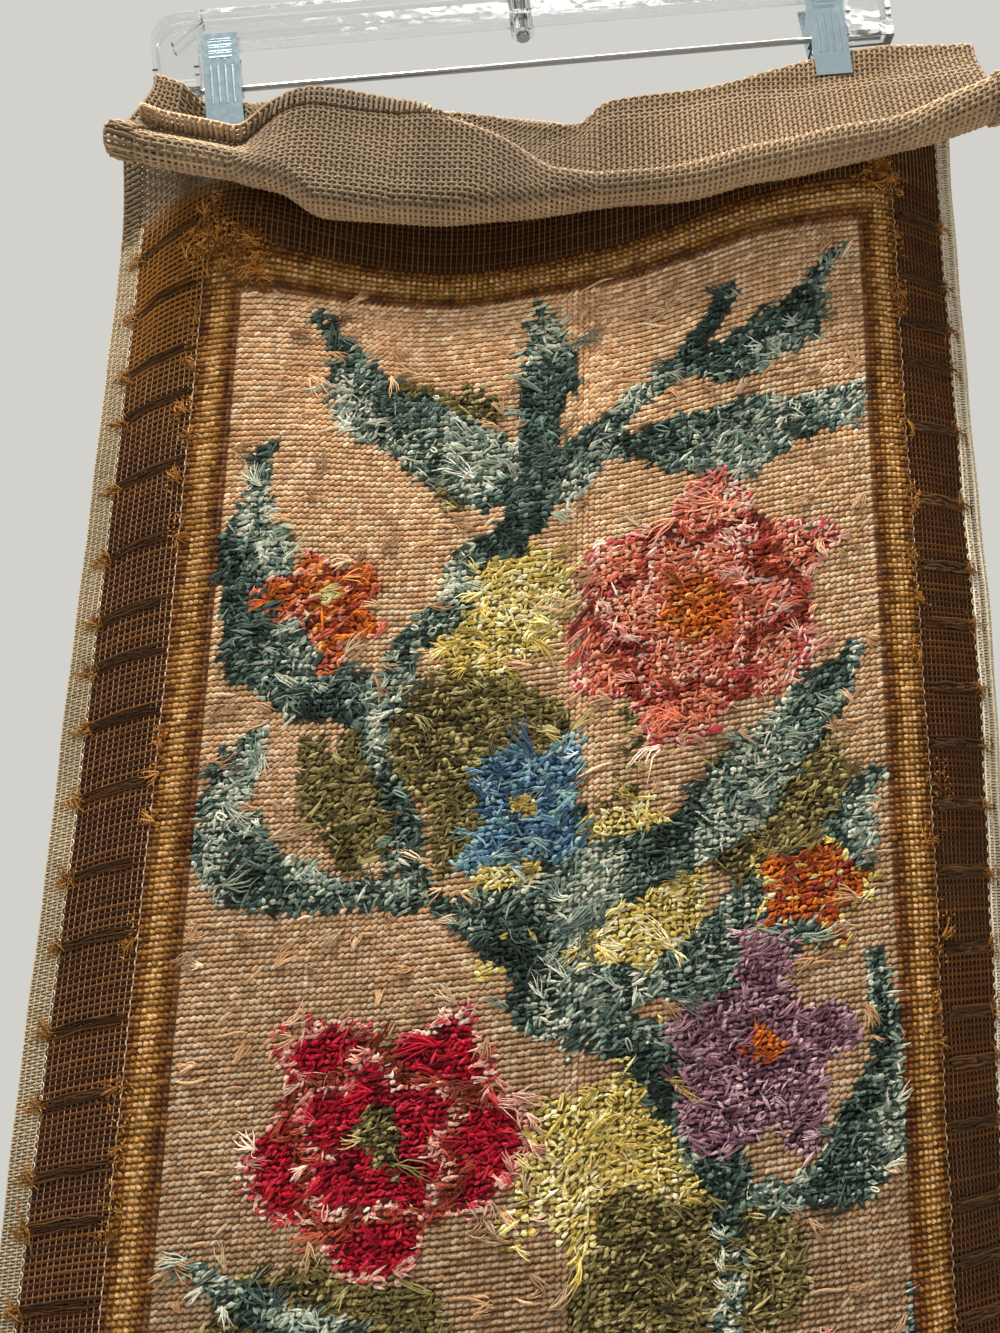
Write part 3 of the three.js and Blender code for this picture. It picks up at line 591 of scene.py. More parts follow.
def fieldChart():
    values = {"wobble": 1.6, "wobbleSize": 5, "stem": 2.6, "patchWobble": 0.45, "patchWobbleSize": 4,
              "leafStart": 0.14, "leafEnd": 0.97}
    chart = np.full((rowCount, chartWidth), dyeCode["beige"])
    row, column = np.indices(chart.shape)
    ragged = np.random.RandomState(27).normal(0, 0.8, chart.shape)
    x, y = column - frameWidth, row - frameWidth
    x, y = [axis + values["wobble"] * waver(x, y, values["wobbleSize"], seed)
            for axis, seed in ((x, 1), (y, 2))]

    def paint(where, dye):
        chart[where] = dyeCode[dye]

    for patch in patches:
        u, v = (x - patch["x"]) / patch["across"], (y - patch["y"]) / patch["down"]
        wobble = values["patchWobble"] * waver(x, y, values["patchWobbleSize"], 3)
        paint(u * u + v * v + wobble + 0.12 * ragged < 1, patch["dye"])
    steps = np.linspace(0, len(bough["x"]) - 1, 120)
    stem = [np.interp(steps, np.arange(len(bough["x"])), bough[a]) for a in "xy"]
    stem = [np.convolve(np.pad(line, 8, mode="edge"), np.ones(17) / 17, "valid") for line in stem]
    away = np.hypot(x[..., None] - stem[0], y[..., None] - stem[1]).min(-1)
    paint(away < values["stem"] + 0.4 * ragged, "teal")
    t = np.linspace(0, 1, 60)
    for leaf in leaves:
        curve = [(1 - t) ** 2 * leaf[a + "1"] + 2 * t * (1 - t) * leaf[a + "2"] + t * t * leaf[a + "3"]
                 for a in "xy"]
        dx, dy = x[..., None] - curve[0], y[..., None] - curve[1]
        away = np.hypot(dx, dy)
        shape = np.sin(math.pi * np.clip(t, values["leafStart"], values["leafEnd"])) ** 0.6
        half = leaf["wide"] / 2 * shape
        nearest = (away - half).argmin(-1)[..., None]
        share = np.take_along_axis(away / half, nearest, -1)[..., 0]
        turn = np.gradient(curve[0]) * dy - np.gradient(curve[1]) * dx
        side = np.take_along_axis(turn, nearest, -1)[..., 0]
        inside = (away - half).min(-1) < 0.5 * ragged
        paint(inside, "teal")
        paint(inside & (side > 0) & (share + 0.3 * ragged > 0.25) & (share < 0.8), "sage")
    for flower in flowers:
        dx, dy = x - flower["x"], y - flower["y"]
        petal = np.cos(np.arctan2(dy, dx) * flower["petals"] + 6 * flower["turn"])
        share = (np.hypot(dx, dy) + 0.6 * ragged) / flower["radius"]
        outer, inner = 0.86 + 0.14 * petal, 0.52 - 0.10 * petal
        for reach, dye in ((outer, "edge"), (outer - 0.09, "main"), (inner + 0.10, "shade"), (inner, "edge"),
                           (inner - 0.09, "main"), (0.2, "middle")):
            paint(share < reach, flower[dye])
        paint((share < outer - 0.02) & (share > inner) & (petal < 0.1 * ragged - 0.88), flower["shade"])
    inwards = np.minimum(np.minimum(column, chartWidth - 1 - column), np.minimum(row, rowCount - 1 - row))
    for reach, dye in ((frameWidth, "redBrown"), (ochreEnd, "ochre"), (ochreEnd - 1, "gold"),
                       (band + 2, "ochre"), (band + 1, "redBrown"), (band, "brown")):
        paint(inwards < reach, dye)
    return chart, inwards


chart, inwards = fieldChart()
field = inwards >= frameWidth
beigeGround = field & (chart == dyeCode["beige"])
green = np.isin(chart, [dyeCode[name] for name in ("teal", "sage", "olive")])


# a colour for every stitch: strands change every few stitches along a row, and in the motifs light and
# dark strands gather in patches that are taller than wide
def dyed(seed, uneven=0.10):
    values = {"runShare": 0.45, "coarse": 0.42, "fine": 0.2, "greenPull": 0.8, "pull": 0.4}
    dice = np.random.RandomState(seed)
    run = np.repeat(dice.rand(rowCount, chartWidth // 3 + 1), 3, axis=1)[:, :chartWidth]
    choice = np.where(dice.rand(*chart.shape) < values["runShare"], run, dice.rand(*chart.shape))
    row, column = np.indices(chart.shape)
    coarse, fine = waver(2.2 * column, row, 6, 77), waver(3 * column, row, 2.5, 78)
    patch = np.clip(0.5 + values["coarse"] * coarse + values["fine"] * fine, 0, 1)
    amid = (column >= frameWidth) & (column <= chartWidth - frameWidth)
    motif = (chart != dyeCode["beige"]) & (row >= frameWidth) & amid
    pull = np.where(green, values["greenPull"], values["pull"]) * (patch - 0.5)
    choice = np.where(motif, np.clip(choice + pull, 0, 0.999), choice)
    colours = np.zeros(chart.shape + (4,))
    for name, lots in dyes.items():
        here = chart == dyeCode[name]
        limits = np.cumsum(list(lots.values())) / sum(lots.values())
        lot = np.minimum(np.searchsorted(limits, choice[here]), len(lots) - 1)
        colours[here] = np.array([linearColour(text) for text in lots])[lot]
    return shaded(colours, np.clip(1 + dice.normal(0, uneven, chart.shape), 0.6, 1.5))


# the ground is lighter at the top, darker downwards and a little rightwards; the frame has painted light to
# the right
down, beside = np.arange(rowCount)[:, None], np.arange(chartWidth)[None, :]
groundUpDownTone = (np.interp(down, [0, 60, 185, 276], [1.14, 1.04, 0.58, 0.48])
          * np.interp(beside, [50, 90, 153], [1.02, 1, 0.92]))
paintedLightRight = np.interp(beside, [100, 153], [1, 1.15])
strandColours = shaded(np.stack([dyed(5), dyed(6, 0.18)]),
                       np.where(chart == dyeCode["beige"], groundUpDownTone, np.where(field, 1, paintedLightRight)))
print("chart drawn")


# where a stitch of the chart lies on the cloth
def stitchSpot(row, column):
    thread = np.asarray(column) + margin + 0.5
    return thread, rowPlace(thread, np.asarray(row) + 0.5)


# the panel as one thin sheet: the canvas with the wool through it, and its bare margins
def panelSheet():
    values = {"across": 100, "down": 184, "thick": 0.9, "canvas": "b8ab92", "paintedRuckShade": 0.12, "motif": 0.3}
    # the front under the stitches is darkened, dye by dye, as painted shade in the gaps between them
    paintedGapShades = {"brown": 0.95, "gold": 0.6, "ochre": 0.6, "redBrown": 0.6, "beige": 0.58}
    rowsDown = rowCount + cloth["bottomMargin"] / pitch
    thread, row = np.meshgrid(np.linspace(0, threads, values["across"] + 1),
                              np.linspace(0, rowsDown, values["down"] + 1), indexing="ij")
    column = np.round(thread - margin - 0.5).astype(int)
    stitched = (column >= 0) & (column < chartWidth) & (row < rowCount)
    nearest = np.clip(row.astype(int), 0, rowCount - 1), np.clip(column, 0, chartWidth - 1)
    paintedGapDarkening = np.array([paintedGapShades.get(name, values["motif"]) for name in dyes])[chart[nearest]]
    # the sheet under the right margin is nearly black, as painted shade in the ruck between its ridges
    bare = shaded(linearColour(values["canvas"]), np.where(thread > threads - margin, values["paintedRuckShade"], 1))
    colour = np.where(stitched[..., None], strandColours[0][nearest], bare)
    front = np.arange(thread.size).reshape(thread.shape)
    back = front + thread.size
    faces = np.concatenate([np.stack([corner.ravel() for corner in quad], 1) for quad in (
        (front[:-1, 1:], front[1:, 1:], front[1:, :-1], front[:-1, :-1]),
        (back[:-1, :-1], back[1:, :-1], back[1:, 1:], back[:-1, 1:]),
        (front[:-1, 0], front[1:, 0], back[1:, 0], back[:-1, 0]),
        (back[:-1, -1], back[1:, -1], front[1:, -1], front[:-1, -1]),
        (front[0, 1:], front[0, :-1], back[0, :-1], back[0, 1:]),
        (back[-1, 1:], back[-1, :-1], front[-1, :-1], front[-1, 1:]))])
    places, colours = [], []
    for side, shade in ((1, np.where(stitched, paintedGapDarkening, 1)), (-1, 1)):
        places.append(onCloth(thread, rowPlace(thread, row), side * values["thick"] / 2).reshape(-1, 3))
        colours.append(shaded(colour, shade).reshape(-1, 4))
    mesh = bpy.data.meshes.new("needlepointPanel")
    mesh.from_pydata(np.concatenate(places).tolist(), [], faces.tolist())
    setColours(mesh, np.concatenate(colours))
    mapped = np.tile(np.stack([thread.ravel(), row.ravel()], 1), (2, 1))[faces.ravel()]
    mesh.uv_layers.new(name="clothMap").data.foreach_set("uv", mapped.astype(np.float32).ravel())
    mesh.shade_smooth()
    mesh.materials.append(stitchedSheet)
    mesh.materials.append(canvasSheet)
    unworked = ~np.tile(stitched.ravel(), 2)
    mesh.polygons.foreach_set("material_index", unworked[faces].all(1).astype(np.int32))
    return addObject("needlepointPanel", mesh)


# one thread laid on the cloth, going over and under at each crossing
def woven(thread, place, lift, wave, parity):
    swing = wave * (1 - 2 * ((np.arange(len(place)) + parity) % 2))
    return onCloth(thread, place, lift + swing)


# its default colour, for the folded top, is darker than the margins' canvas as painted shade
def canvasTint(dice, text="90785b", uneven=0.07):
    return linearColour(text) * [*(1 + dice.normal(0, uneven) + dice.normal(0, 0.01, 3)), 1]


# the bare top with painted shade, most left of its middle, and a painted highlight where it lies level
def paintedCuffLight(tint, thread, place):
    facing = smooth((np.abs(between(outwards, thread, place)[..., 2]) - 0.4) / 0.45)
    paintedShade = np.interp(thread / threads, [0, 0.25, 0.5, 0.66], [0.70, 0.54, 0.56, 0.92])
    return shaded(tint, mix(paintedShade, 1.3, facing))


# the folded top: bare open canvas, its side edges and its free edge turned over. Past the crest the
# weave gapes where the flap turns up
def foldedTop():
    values = {"thread": 1.85, "wave": 0.36, "behind": -10, "hemRows": 4, "hemLift": 1.7, "sheetRows": 2,
              "flapRows": 90, "backRows": 60, "crest": 25, "gape": 0.35}
    dice = np.random.RandomState(31)
    warp, weft = [], []
    for i in range(threads + 1):
        end = float(cuffPlace(i, 0))
        low = np.arange(float(rowPlace(i, values["sheetRows"])), values["behind"], pitch)
        high = np.arange(end, values["behind"], -pitch)[::-1]
        place = np.concatenate([low, high, end - pitch * (np.arange(values["hemRows"]) + 0.5)])
        number = np.arange(len(place))
        lift = np.where(number < len(low) + len(high), 0, values["hemLift"])
        parity = np.where(number < len(low), i, i + len(low) + len(high) - 1)
        warp.append((woven(i, place, lift, values["wave"], parity), values["thread"],
                     paintedCuffLight(canvasTint(dice), i, place)))
    side = np.arange(values["hemRows"], 0, -1) - 0.5
    position = np.concatenate([side, np.arange(threads + 1.0), threads - side[::-1]])
    number = np.arange(len(position))
    lift = np.where((number < len(side)) | (number > len(side) + threads), values["hemLift"], 0)
    for placeOf, rows, sign in ((cuffPlace, (0, values["flapRows"]), 1),
                                (rowPlace, (-values["backRows"], values["sheetRows"] + 1), -1)):
        for row in range(*rows):
            place = placeOf(position, row)
            inside = (place - values["behind"]) * sign > 0
            for run in np.split(number, np.flatnonzero(np.diff(inside.astype(int))) + 1):
                if inside[run[0]] and len(run) > 2:
                    thread, spot = position[run], place[run]
                    under = -between(outwards, thread, spot)[..., 2]
                    gape = values["gape"] * smooth((under - 0.7) / 0.25) * (spot > values["crest"])
                    weft.append((woven(thread, spot, lift[run], -values["wave"], row + run[0]),
                                 values["thread"] * (1 - gape), paintedCuffLight(canvasTint(dice), thread, spot)))
    return [makeLines(name, lines, 4, canvasThread)
            for name, lines in (("topWarpThreads", warp), ("topWeftThreads", weft))]


# the bare margins: at the sides the canvas is turned under, so two layers lie a half pitch apart,
# on the right rucked into two ridges. Loops of canvas thread show along the edge of the wool
def marginThreads():
    values = {"thread": 1.05, "wave": 0.3, "bottomRows": 23, "bottomLift": 0.8, "pale": "bca98a",
              "loop": 1.1, "loopThread": 0.6, "loopLift": 1.5, "loopTint": "e6d6b8"}
    # the right side's threads are paler than the left's, as painted light where that margin turns away
    sides = tableRows("sign lifts swell tint", [
        (1, [1.0, 1.2, 1.2, 1.1, 0.9], 1, values["pale"]), (-1, [1.9, 2.3, -0.4, 2.3, 1.9], 1.4, "e0d0b2")])
    dice = np.random.RandomState(32)
    lastRow = rowCount + values["bottomRows"]
    lines = []

    def lay(line, thick, tint):
        lines.append((line, thick, canvasTint(dice, tint)))

    for side in sides:
        sign, lifts, tint = side["sign"], np.array(side["lifts"]), side["tint"]
        edge = np.arange(5.0) if sign > 0 else threads - np.arange(5.0)
        for thread, lift in zip(edge, lifts):
            lay(onCloth(thread, rowPlace(thread, np.arange(lastRow + 1.0)), lift - 0.05),
                values["thread"] * side["swell"], tint)
        for n, row in enumerate(np.arange(0, lastRow + 0.5, 0.5)):
            lift = lifts + dice.normal(0, 0.08, 5)
            lay(woven(edge, rowPlace(edge, row), lift, values["wave"], n), values["thread"], tint)
        turn = np.linspace(-math.pi / 2, math.pi / 2, 5)
        thread = edge[4] + sign * (0.15 + values["loop"] / pitch * np.cos(turn))
        for row in np.arange(1, rowCount, 2.0):
            lay(onCloth(thread, rowPlace(thread, row + 0.55 * np.sin(turn)), values["loopLift"]),
                values["loopThread"], values["loopTint"])
    inner = np.arange(4, threads - 3.0)
    for row in range(rowCount + 1, lastRow + 1):
        lay(woven(inner[::2], rowPlace(inner[::2], row), values["bottomLift"], -values["wave"], row),
            values["thread"], values["pale"])
    for thread in inner:
        place = rowPlace(thread, np.arange(rowCount, lastRow + 1, 2.0))
        lay(woven(thread, place, values["bottomLift"], values["wave"], int(thread)),
            values["thread"], values["pale"])
    return makeLines("marginThreads", lines, 3, canvasThread)


# the brown border: ropes of brown wool along the rows, with the canvas's fine upright threads in the
# gaps between them. Along the top the uprights lie over the wool
def brownBorder():
    values = {"rope": 1.5, "ropeLift": 0.75, "upright": 0.44, "uprightLift": 1.0, "topUpright": 0.62,
              "topLift": 1.35, "edge": 0.65, "edgeWave": 0.5, "wear": 0.8, "wornColour": "a8702c",
              "wornRow": 15, "wornRows": 17, "wornColumn": 5, "wornColumns": 13,
              # the top uprights' tint is partly darkened as painted shadow of the folded top
              "ropes": ["402107", "4c290b", "5a3411"], "topTint": "8a6238", "edgeTint": "dcc39c",
              "leftTint": "b29470", "rightTint": "946a3c", "paintedCuffShadow": 0.75}
    dice = np.random.RandomState(33)
    ropes, uprights = [], []

    def wornAt(colour, row, thread):
        u = (thread - margin - values["wornColumn"]) / values["wornColumns"]
        v = (row - values["wornRow"]) / values["wornRows"]
        share = values["wear"] * np.exp(-v ** 2 - u ** 2)
        return mix(colour, linearColour(values["wornColour"]), share[:, None])

    last = margin + chartWidth
    whole = np.linspace(margin, last, 62)
    bands = [np.linspace(margin, margin + band, 7), np.linspace(last - band, last, 7)]
    for row in range(rowCount):
        for run in [whole] if row < band or row >= rowCount - band else bands:
            thick = values["rope"] * (1 + dice.normal(0, 0.07, len(run)))
            lift = values["ropeLift"] + dice.normal(0, 0.06, len(run))
            colour = linearColour(values["ropes"][dice.randint(3)]) * dice.uniform(0.85, 1.15)
            # the top band's ropes are darkened as painted shadow of the folded top
            colour = wornAt(colour * (values["paintedCuffShadow"] if row < band else 1), row, run)
            ropes.append((onCloth(run, rowPlace(run, row + 0.5), lift), thick, colour))
    for column in range(chartWidth + 1):
        thread = margin + column
        fromEdge = min(column, chartWidth - column)
        sides = [(band, rowCount - band)] if fromEdge <= band else []
        for low, high in [(0, band), (rowCount - band, rowCount)] + sides:
            top = low == 0
            edge = fromEdge == band and low == band
            row = np.linspace(low, high, int((high - low) / (1 if edge else 2)) + 1)
            dip = values["edgeWave"] * (np.arange(len(row)) % 2) * 2 if edge else 0
            lift = values["topLift" if top or edge else "uprightLift"] - dip
            thick = values["topUpright" if top else "edge" if edge else "upright"]
            side = "leftTint" if column < chartWidth / 2 else "rightTint"
            tint = canvasTint(dice, values["edgeTint" if edge else "topTint" if top else side], 0.15)
            uprights.append((onCloth(thread, rowPlace(thread, row), lift), thick, wornAt(tint, row, thread)))
    return [makeLines("brownWoolRows", ropes, 4, wool), makeLines("borderUprights", uprights, 3, wool)]


# a grain's own ways on the cloth: out of it, and along it at a turn from the row, with its tip raised
def grainWays(thread, place, turn, tip):
    out = between(outwards, thread, place)
    way = between(acrossWay, thread, place) * np.cos(turn) + between(alongWay, thread, place) * np.sin(turn)
    return out, unit(way + out * tip)


# the stitches of one part of the chart: leaning grains, more or less regular
def stitchPiece(name, where, grain, values, seed):
    dice = np.random.RandomState(seed)
    row, column = np.nonzero(where)
    thread, place = stitchSpot(row, column)
    count = len(row)
    lean = np.radians(values["lean"] + dice.normal(0, values["wander"], count))[:, None]
    ways = grainWays(thread, place, lean, dice.normal(0, values["tip"], count)[:, None])
    lift = values["lift"] + np.abs(dice.normal(0, values["loose"], count))
    shift = dice.normal(0, values["stray"], (count, 2))
    swell = 1 + values["swell"] * waver(thread, row, 3.5, seed)
    scale = np.clip(1 + dice.normal(0, values["vary"], (count, 3)), 0.6, 1.9) * swell[:, None]
    scale[:, 0] *= np.where(dice.rand(count) < values["floats"], dice.uniform(1.5, 2.6, count), 1)
    size = np.array([values["long"], values["wide"], values["high"]]) * pitch * scale
    places = onCloth(thread + shift[:, 0], place + shift[:, 1] * pitch, lift)
    return planted(name, grain, places, ways, size, strandColours[values["dyed"], row, column])


# lengths are in pitches, lean and wander in degrees. Loose strands of the motifs lie over their stitches
def allStitches():
    ground, stripe, bead, over = tableRows(
        "dyed lean wander tip lift loose stray swell vary floats long wide high", [
            (0, 33, 6, 0.05, 0.5, 0.1, 0.04, 0.08, 0.08, 0.01, 1.4, 0.69, 0.46),
            (0, 16, 10, 0.08, 0.5, 0.12, 0.06, 0.05, 0.12, 0.0, 0.86, 0.68, 0.5),
            (0, 28, 20, 0.15, 0.5, 0.3, 0.12, 0.14, 0.22, 0.08, 1.2, 0.68, 0.55),
            (1, 24, 42, 0.3, 0.75, 0.45, 0.28, 0.1, 0.26, 0.28, 1.5, 0.5, 0.48)])
    leaf, blossom = field & green, field & ~beigeGround & ~green
    return [stitchPiece(*work) for work in (
        ("beigeGroundStitches", beigeGround, woolGrain, ground, 11),
        ("stripeStitches", ~field & (chart != dyeCode["brown"]), woolGrain, stripe, 12),
        ("leafStitches", leaf, woolGrain, bead, 13), ("leafStrands", leaf, woolFleck, over, 15),
        ("blossomStitches", blossom, woolGrain, bead, 14), ("blossomStrands", blossom, woolFleck, over, 16))]


# a loose strand: it leaves the cloth, runs over it and ends free
def strand(thread, place, heading, length, rise, bend, dice, points=5, lift=1.0):
    t = np.linspace(0, 1, points)
    turn = heading + bend * t + 0.25 * np.sin(5 * t + dice.rand() * 6)
    ahead = np.concatenate([[0], np.cumsum(np.cos(turn[1:]))]) * length / (points - 1) / pitch
    upward = np.concatenate([[0], np.cumsum(np.sin(turn[1:]))]) * length / (points - 1)
    height = lift + rise * np.sin(math.pi * np.clip(0.12 + t * dice.uniform(0.5, 0.9), 0, 1))
    return onCloth(thread + ahead, place + upward, height)


# a cut end: its plies lie together where they leave the stitch and fan out towards their tips
def cutEnd(spot, heading, length, plies, thick, fan, colour, dice, lift=1.2):
    thread, place = spot
    bend, rise = dice.normal(0, 0.5), dice.uniform(0.6, 2.6)
    taper = np.array([1.0, 1.15, 0.95, 0.35])
    lines = []
    for i in range(plies):
        aside = (i / max(plies - 1, 1) - 0.5) * fan + dice.normal(0, 0.08)
        line = strand(thread + dice.normal(0, 0.12), place + dice.normal(0, 0.35), heading + aside,
                      length * dice.uniform(0.7, 1.1), rise * dice.uniform(0.6, 1.3), bend, dice,
                      len(taper), lift)
        lines.append((line, thick * taper * dice.uniform(0.8, 1.2), colour * dice.uniform(0.8, 1.2)))
    return lines


# the unruly side of the work: cut ends where one colour meets another, loops, long threads carried
# over the ground, and stray fibres
def looseYarns():
    values = {
        "ends": 720, "inside": 300, "shortest": 2.5, "plies": (6, 10), "thick": (0.4, 0.7), "fan": (0.2, 0.9),
        "knots": 120, "knotLength": (5, 12), "knotPlies": 8, "knotThick": 0.55, "knotFan": (0.4, 1.0),
        "loops": 130, "loopReach": (1.5, 3.4), "loopBulge": (0.6, 1.3), "loopRise": (0.4, 1.6),
        "loopThick": (0.6, 1.0), "runs": 80, "runLength": (5, 15), "runLift": 1.3, "runTone": 0.82,
        "runThick": np.array([0.6, 1.1, 1.25, 1.25, 1.1, 0.5]),
        "fibres": 780, "fibreLength": (3, 8), "fibreRise": (1, 3), "fibreThick": 0.24, "fibreTone": 1.2,
    }
    dice = np.random.RandomState(41)
    flecks = dyed(8, 0.2)
    change = field[:, :-1] & field[:, 1:] & (chart[:, :-1] != chart[:, 1:])
    meetings, motif, ground = [np.argwhere(where) for where in (change, field & ~beigeGround, beigeGround)]
    ends, runs, fibres = [], [], []

    def chosen(stitches, count):
        for _ in range(count):
            row, column = stitches[dice.randint(len(stitches))]
            yield row, column, stitchSpot(row, column), flecks[row, column]

    for stitches in [meetings] * values["ends"] + [motif] * values["inside"]:
        row, column = stitches[dice.randint(10 ** 6) % len(stitches)]
        leftwards = dice.rand() < 0.5
        owner = column + leftwards
        heading = math.pi * leftwards + dice.normal(-0.1, 0.55)
        if chart[row, owner] == dyeCode["beige"] and dice.rand() < 0.5:
            continue
        length, plies = values["shortest"] + dice.gamma(3.2, 1.7), dice.randint(*values["plies"])
        ends += cutEnd(stitchSpot(row, owner), heading, length, plies, dice.uniform(*values["thick"]),
                       dice.uniform(*values["fan"]), flecks[row, owner], dice)
    for _, _, spot, colour in chosen(ground, values["knots"]):
        colour = shaded(colour, dice.uniform(0.7, 1.0))
        ends += cutEnd(spot, dice.choice([0, math.pi]) + dice.normal(0, 0.7),
                       dice.uniform(*values["knotLength"]), values["knotPlies"], values["knotThick"],
                       dice.uniform(*values["knotFan"]), colour, dice)
    for _, _, (thread, place), colour in chosen(motif, values["loops"]):
        turn, way = np.linspace(0.5, 5.8, 8), dice.rand() * 6.3
        reach = dice.uniform(*values["loopReach"]) * np.cos(turn)
        bulge = dice.uniform(*values["loopBulge"]) * np.sin(turn)
        height = 1.6 + dice.uniform(*values["loopRise"]) * np.sin(np.linspace(0, math.pi, 8))
        aside = reach * math.cos(way) - bulge * math.sin(way)
        upward = reach * math.sin(way) + bulge * math.cos(way)
        line = onCloth(thread + aside / pitch, place + upward, height)
        ends.append((line, dice.uniform(*values["loopThick"]), colour))
    for row, column, (thread, place), colour in chosen(ground, values["runs"]):
        length = dice.uniform(*values["runLength"])
        reach = int(length / pitch) + 1
        if column + reach < chartWidth and beigeGround[row, column:column + reach].all():
            line = strand(thread, place, 0.0, length, 0.5, dice.normal(0, 0.03), dice,
                          len(values["runThick"]), values["runLift"])
            runs.append((line, values["runThick"], colour * values["runTone"]))
    for _, _, (thread, place), colour in chosen(motif, values["fibres"]):
        line = strand(thread, place, dice.rand() * 6.3, dice.uniform(*values["fibreLength"]),
                      dice.uniform(*values["fibreRise"]), dice.normal(0, 1.6), dice)
        fibres.append((line, values["fibreThick"], colour * values["fibreTone"]))
    return [makeLines("looseYarnEnds", ends, 3, wool), makeLines("carriedThreads", runs, 5, wool),
            makeLines("woolFibres", fibres, 3, wool)]


# where the brown wool was fastened off: a thick furry ridge along a row with a worn tuft at its outer
# end. Worn ochre tufts also mark the corners and dot the gold stripe
def borderRidges():
    values = {
        "apart": 10.5, "strands": 5, "thick": 1.3, "lift": 1.35, "fur": 70,
        "tuft": 11, "tuftLength": (3.5, 8), "tuftThick": 0.55, "ball": 34, "patch": 46,
        "corners": [(11, 14, 2.6), (15, 22, 2.6), (13, 138, 2.2), (262, 14, 1.5), (262, 138, 1.5)],
        "bunch": 14, "bunchLength": (3, 9), "dotsApart": 8, "dotLength": (4, 9), "dotShare": 0.6,
        "fleckLong": (1.4, 3.2), "fleckWide": (0.45, 0.8), "fleckHigh": (0.4, 0.8), "fleckTone": (0.7, 1.25),
        "worn": "8a5c24 9c6a2a 6a4418 b07c38", "fair": "a0662a bc7e38 7a481a cc9248",
        "furry": "38220c 452a0f 543718",
    }
    dice = np.random.RandomState(52)
    worn, fair, furry = [[linearColour(text) for text in values[tints].split()]
                         for tints in ("worn", "fair", "furry")]
    lines, flecks = [], []

    def fluff(thread, row, wide, tall, count, tints):
        for _ in range(count):
            aside, over = dice.normal(0, 1, 2)
            lift = 0.9 + 1.5 * dice.rand() * math.exp(-(aside * aside + over * over) / 3)
            size = [dice.uniform(*values[name]) for name in ("fleckLong", "fleckWide", "fleckHigh")]
            tint = shaded(tints[dice.randint(len(tints))], dice.uniform(*values["fleckTone"]))
            flecks.append(((thread + aside * wide, row + over * tall, lift), size, tint))

    for sign, outer in ((1, margin), (-1, threads - margin)):
        row = dice.uniform(4, 8) if sign > 0 else dice.uniform(14, 20)
        while row < rowCount - 12:
            for n in range(values["strands"]):
                thread = outer + sign * np.linspace(-0.3, band - dice.uniform(0.2, 2.5), 8)
                wander = row + (n / (values["strands"] - 1) - 0.5) * 1.5 + dice.normal(0, 0.12, 8)
                line = onCloth(thread, rowPlace(thread, wander), values["lift"] + dice.normal(0, 0.2, 8))
                thick = values["thick"] * (1 + dice.normal(0, 0.12, 8))
                lines.append((line, thick, furry[dice.randint(3)]))
            for _ in range(values["tuft"]):
                thread = outer + sign * dice.uniform(-0.6, 1.4)
                spot = (thread, float(rowPlace(outer, row)) + dice.normal(0, 1.3))
                heading = (math.pi if sign > 0 else 0) + dice.normal(0, 0.9)
                lines += cutEnd(spot, heading, dice.uniform(*values["tuftLength"]), 1,
                                values["tuftThick"], 0, worn[dice.randint(3)], dice)
            fluff(outer - sign * 1.2, row, 1.3, 0.8, values["fur"], worn)
            fluff(outer + sign * dice.uniform(2, 9), row, 2.6, 0.35, values["ball"] // 2, furry)
            row += values["apart"] + dice.uniform(-3, 3)
    for row, column, size in values["corners"]:
        for _ in range(values["bunch"]):
            spot = stitchSpot(row + dice.normal(0, size), column + dice.normal(0, size))
            lines += cutEnd(spot, dice.rand() * 6.3, dice.uniform(*values["bunchLength"]), 5, 0.6, 0.9,
                            fair[dice.randint(4)], dice)
        for _ in range(int(6 * size)):
            fluff(column + margin + dice.normal(0, size), row + dice.normal(0, size), 1.3, 1.0,
                  values["ball"], fair)
    for column in (band, chartWidth - band - 1):
        for row in np.arange(24.0, rowCount - 24, values["dotsApart"]):
            if dice.rand() < values["dotShare"]:
                row, thread = row + dice.normal(0, 2), column + dice.normal(0, 1)
                lines += cutEnd(stitchSpot(row, thread), dice.choice([0, math.pi]) + dice.normal(0, 0.8),
                                dice.uniform(*values["dotLength"]), 6, 0.55, 0.8,
                                worn[dice.randint(4)], dice)
                fluff(thread + margin, row, dice.uniform(0.8, 1.7), dice.uniform(0.9, 2.8),
                      values["patch"], fair)
    spots, sizes, colours = [np.array(part) for part in zip(*flecks)]
    thread, place = spots[:, 0], rowPlace(spots[:, 0], spots[:, 1])
    turn = dice.rand(len(spots), 1) * 6.3
    ways = grainWays(thread, place, turn, dice.normal(0, 0.5, (len(spots), 1)))
    places = onCloth(thread, place, spots[:, 2])
    return [makeLines("borderRidgesAndTufts", lines, 3, wool),
            planted("wornWoolFluff", woolFleck, places, ways, sizes, colours)]


panel = panelSheet()
print("panel laid")
canvasPieces = foldedTop() + [marginThreads()]
print("canvas woven")
stitches = brownBorder() + allStitches()
print("stitches worked")
yarns = looseYarns() + borderRidges()
print("loose yarns laid")
threadPieces = canvasPieces + stitches + yarns

for piece in [panel] + threadPieces:
    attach(piece, "root")
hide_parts("needlepoint_canvas")

# the hanger keeps its solids
slots = {row["node"]: row["material_slot"] for row in frame["record"]["subparts"]}
for name, node in frame["nodes"].items():
    if slots[name] in metals or name == "hanger_bar":
        for slot in node.material_slots:
            slot.material = metals.get(slots[name], clearPlastic)


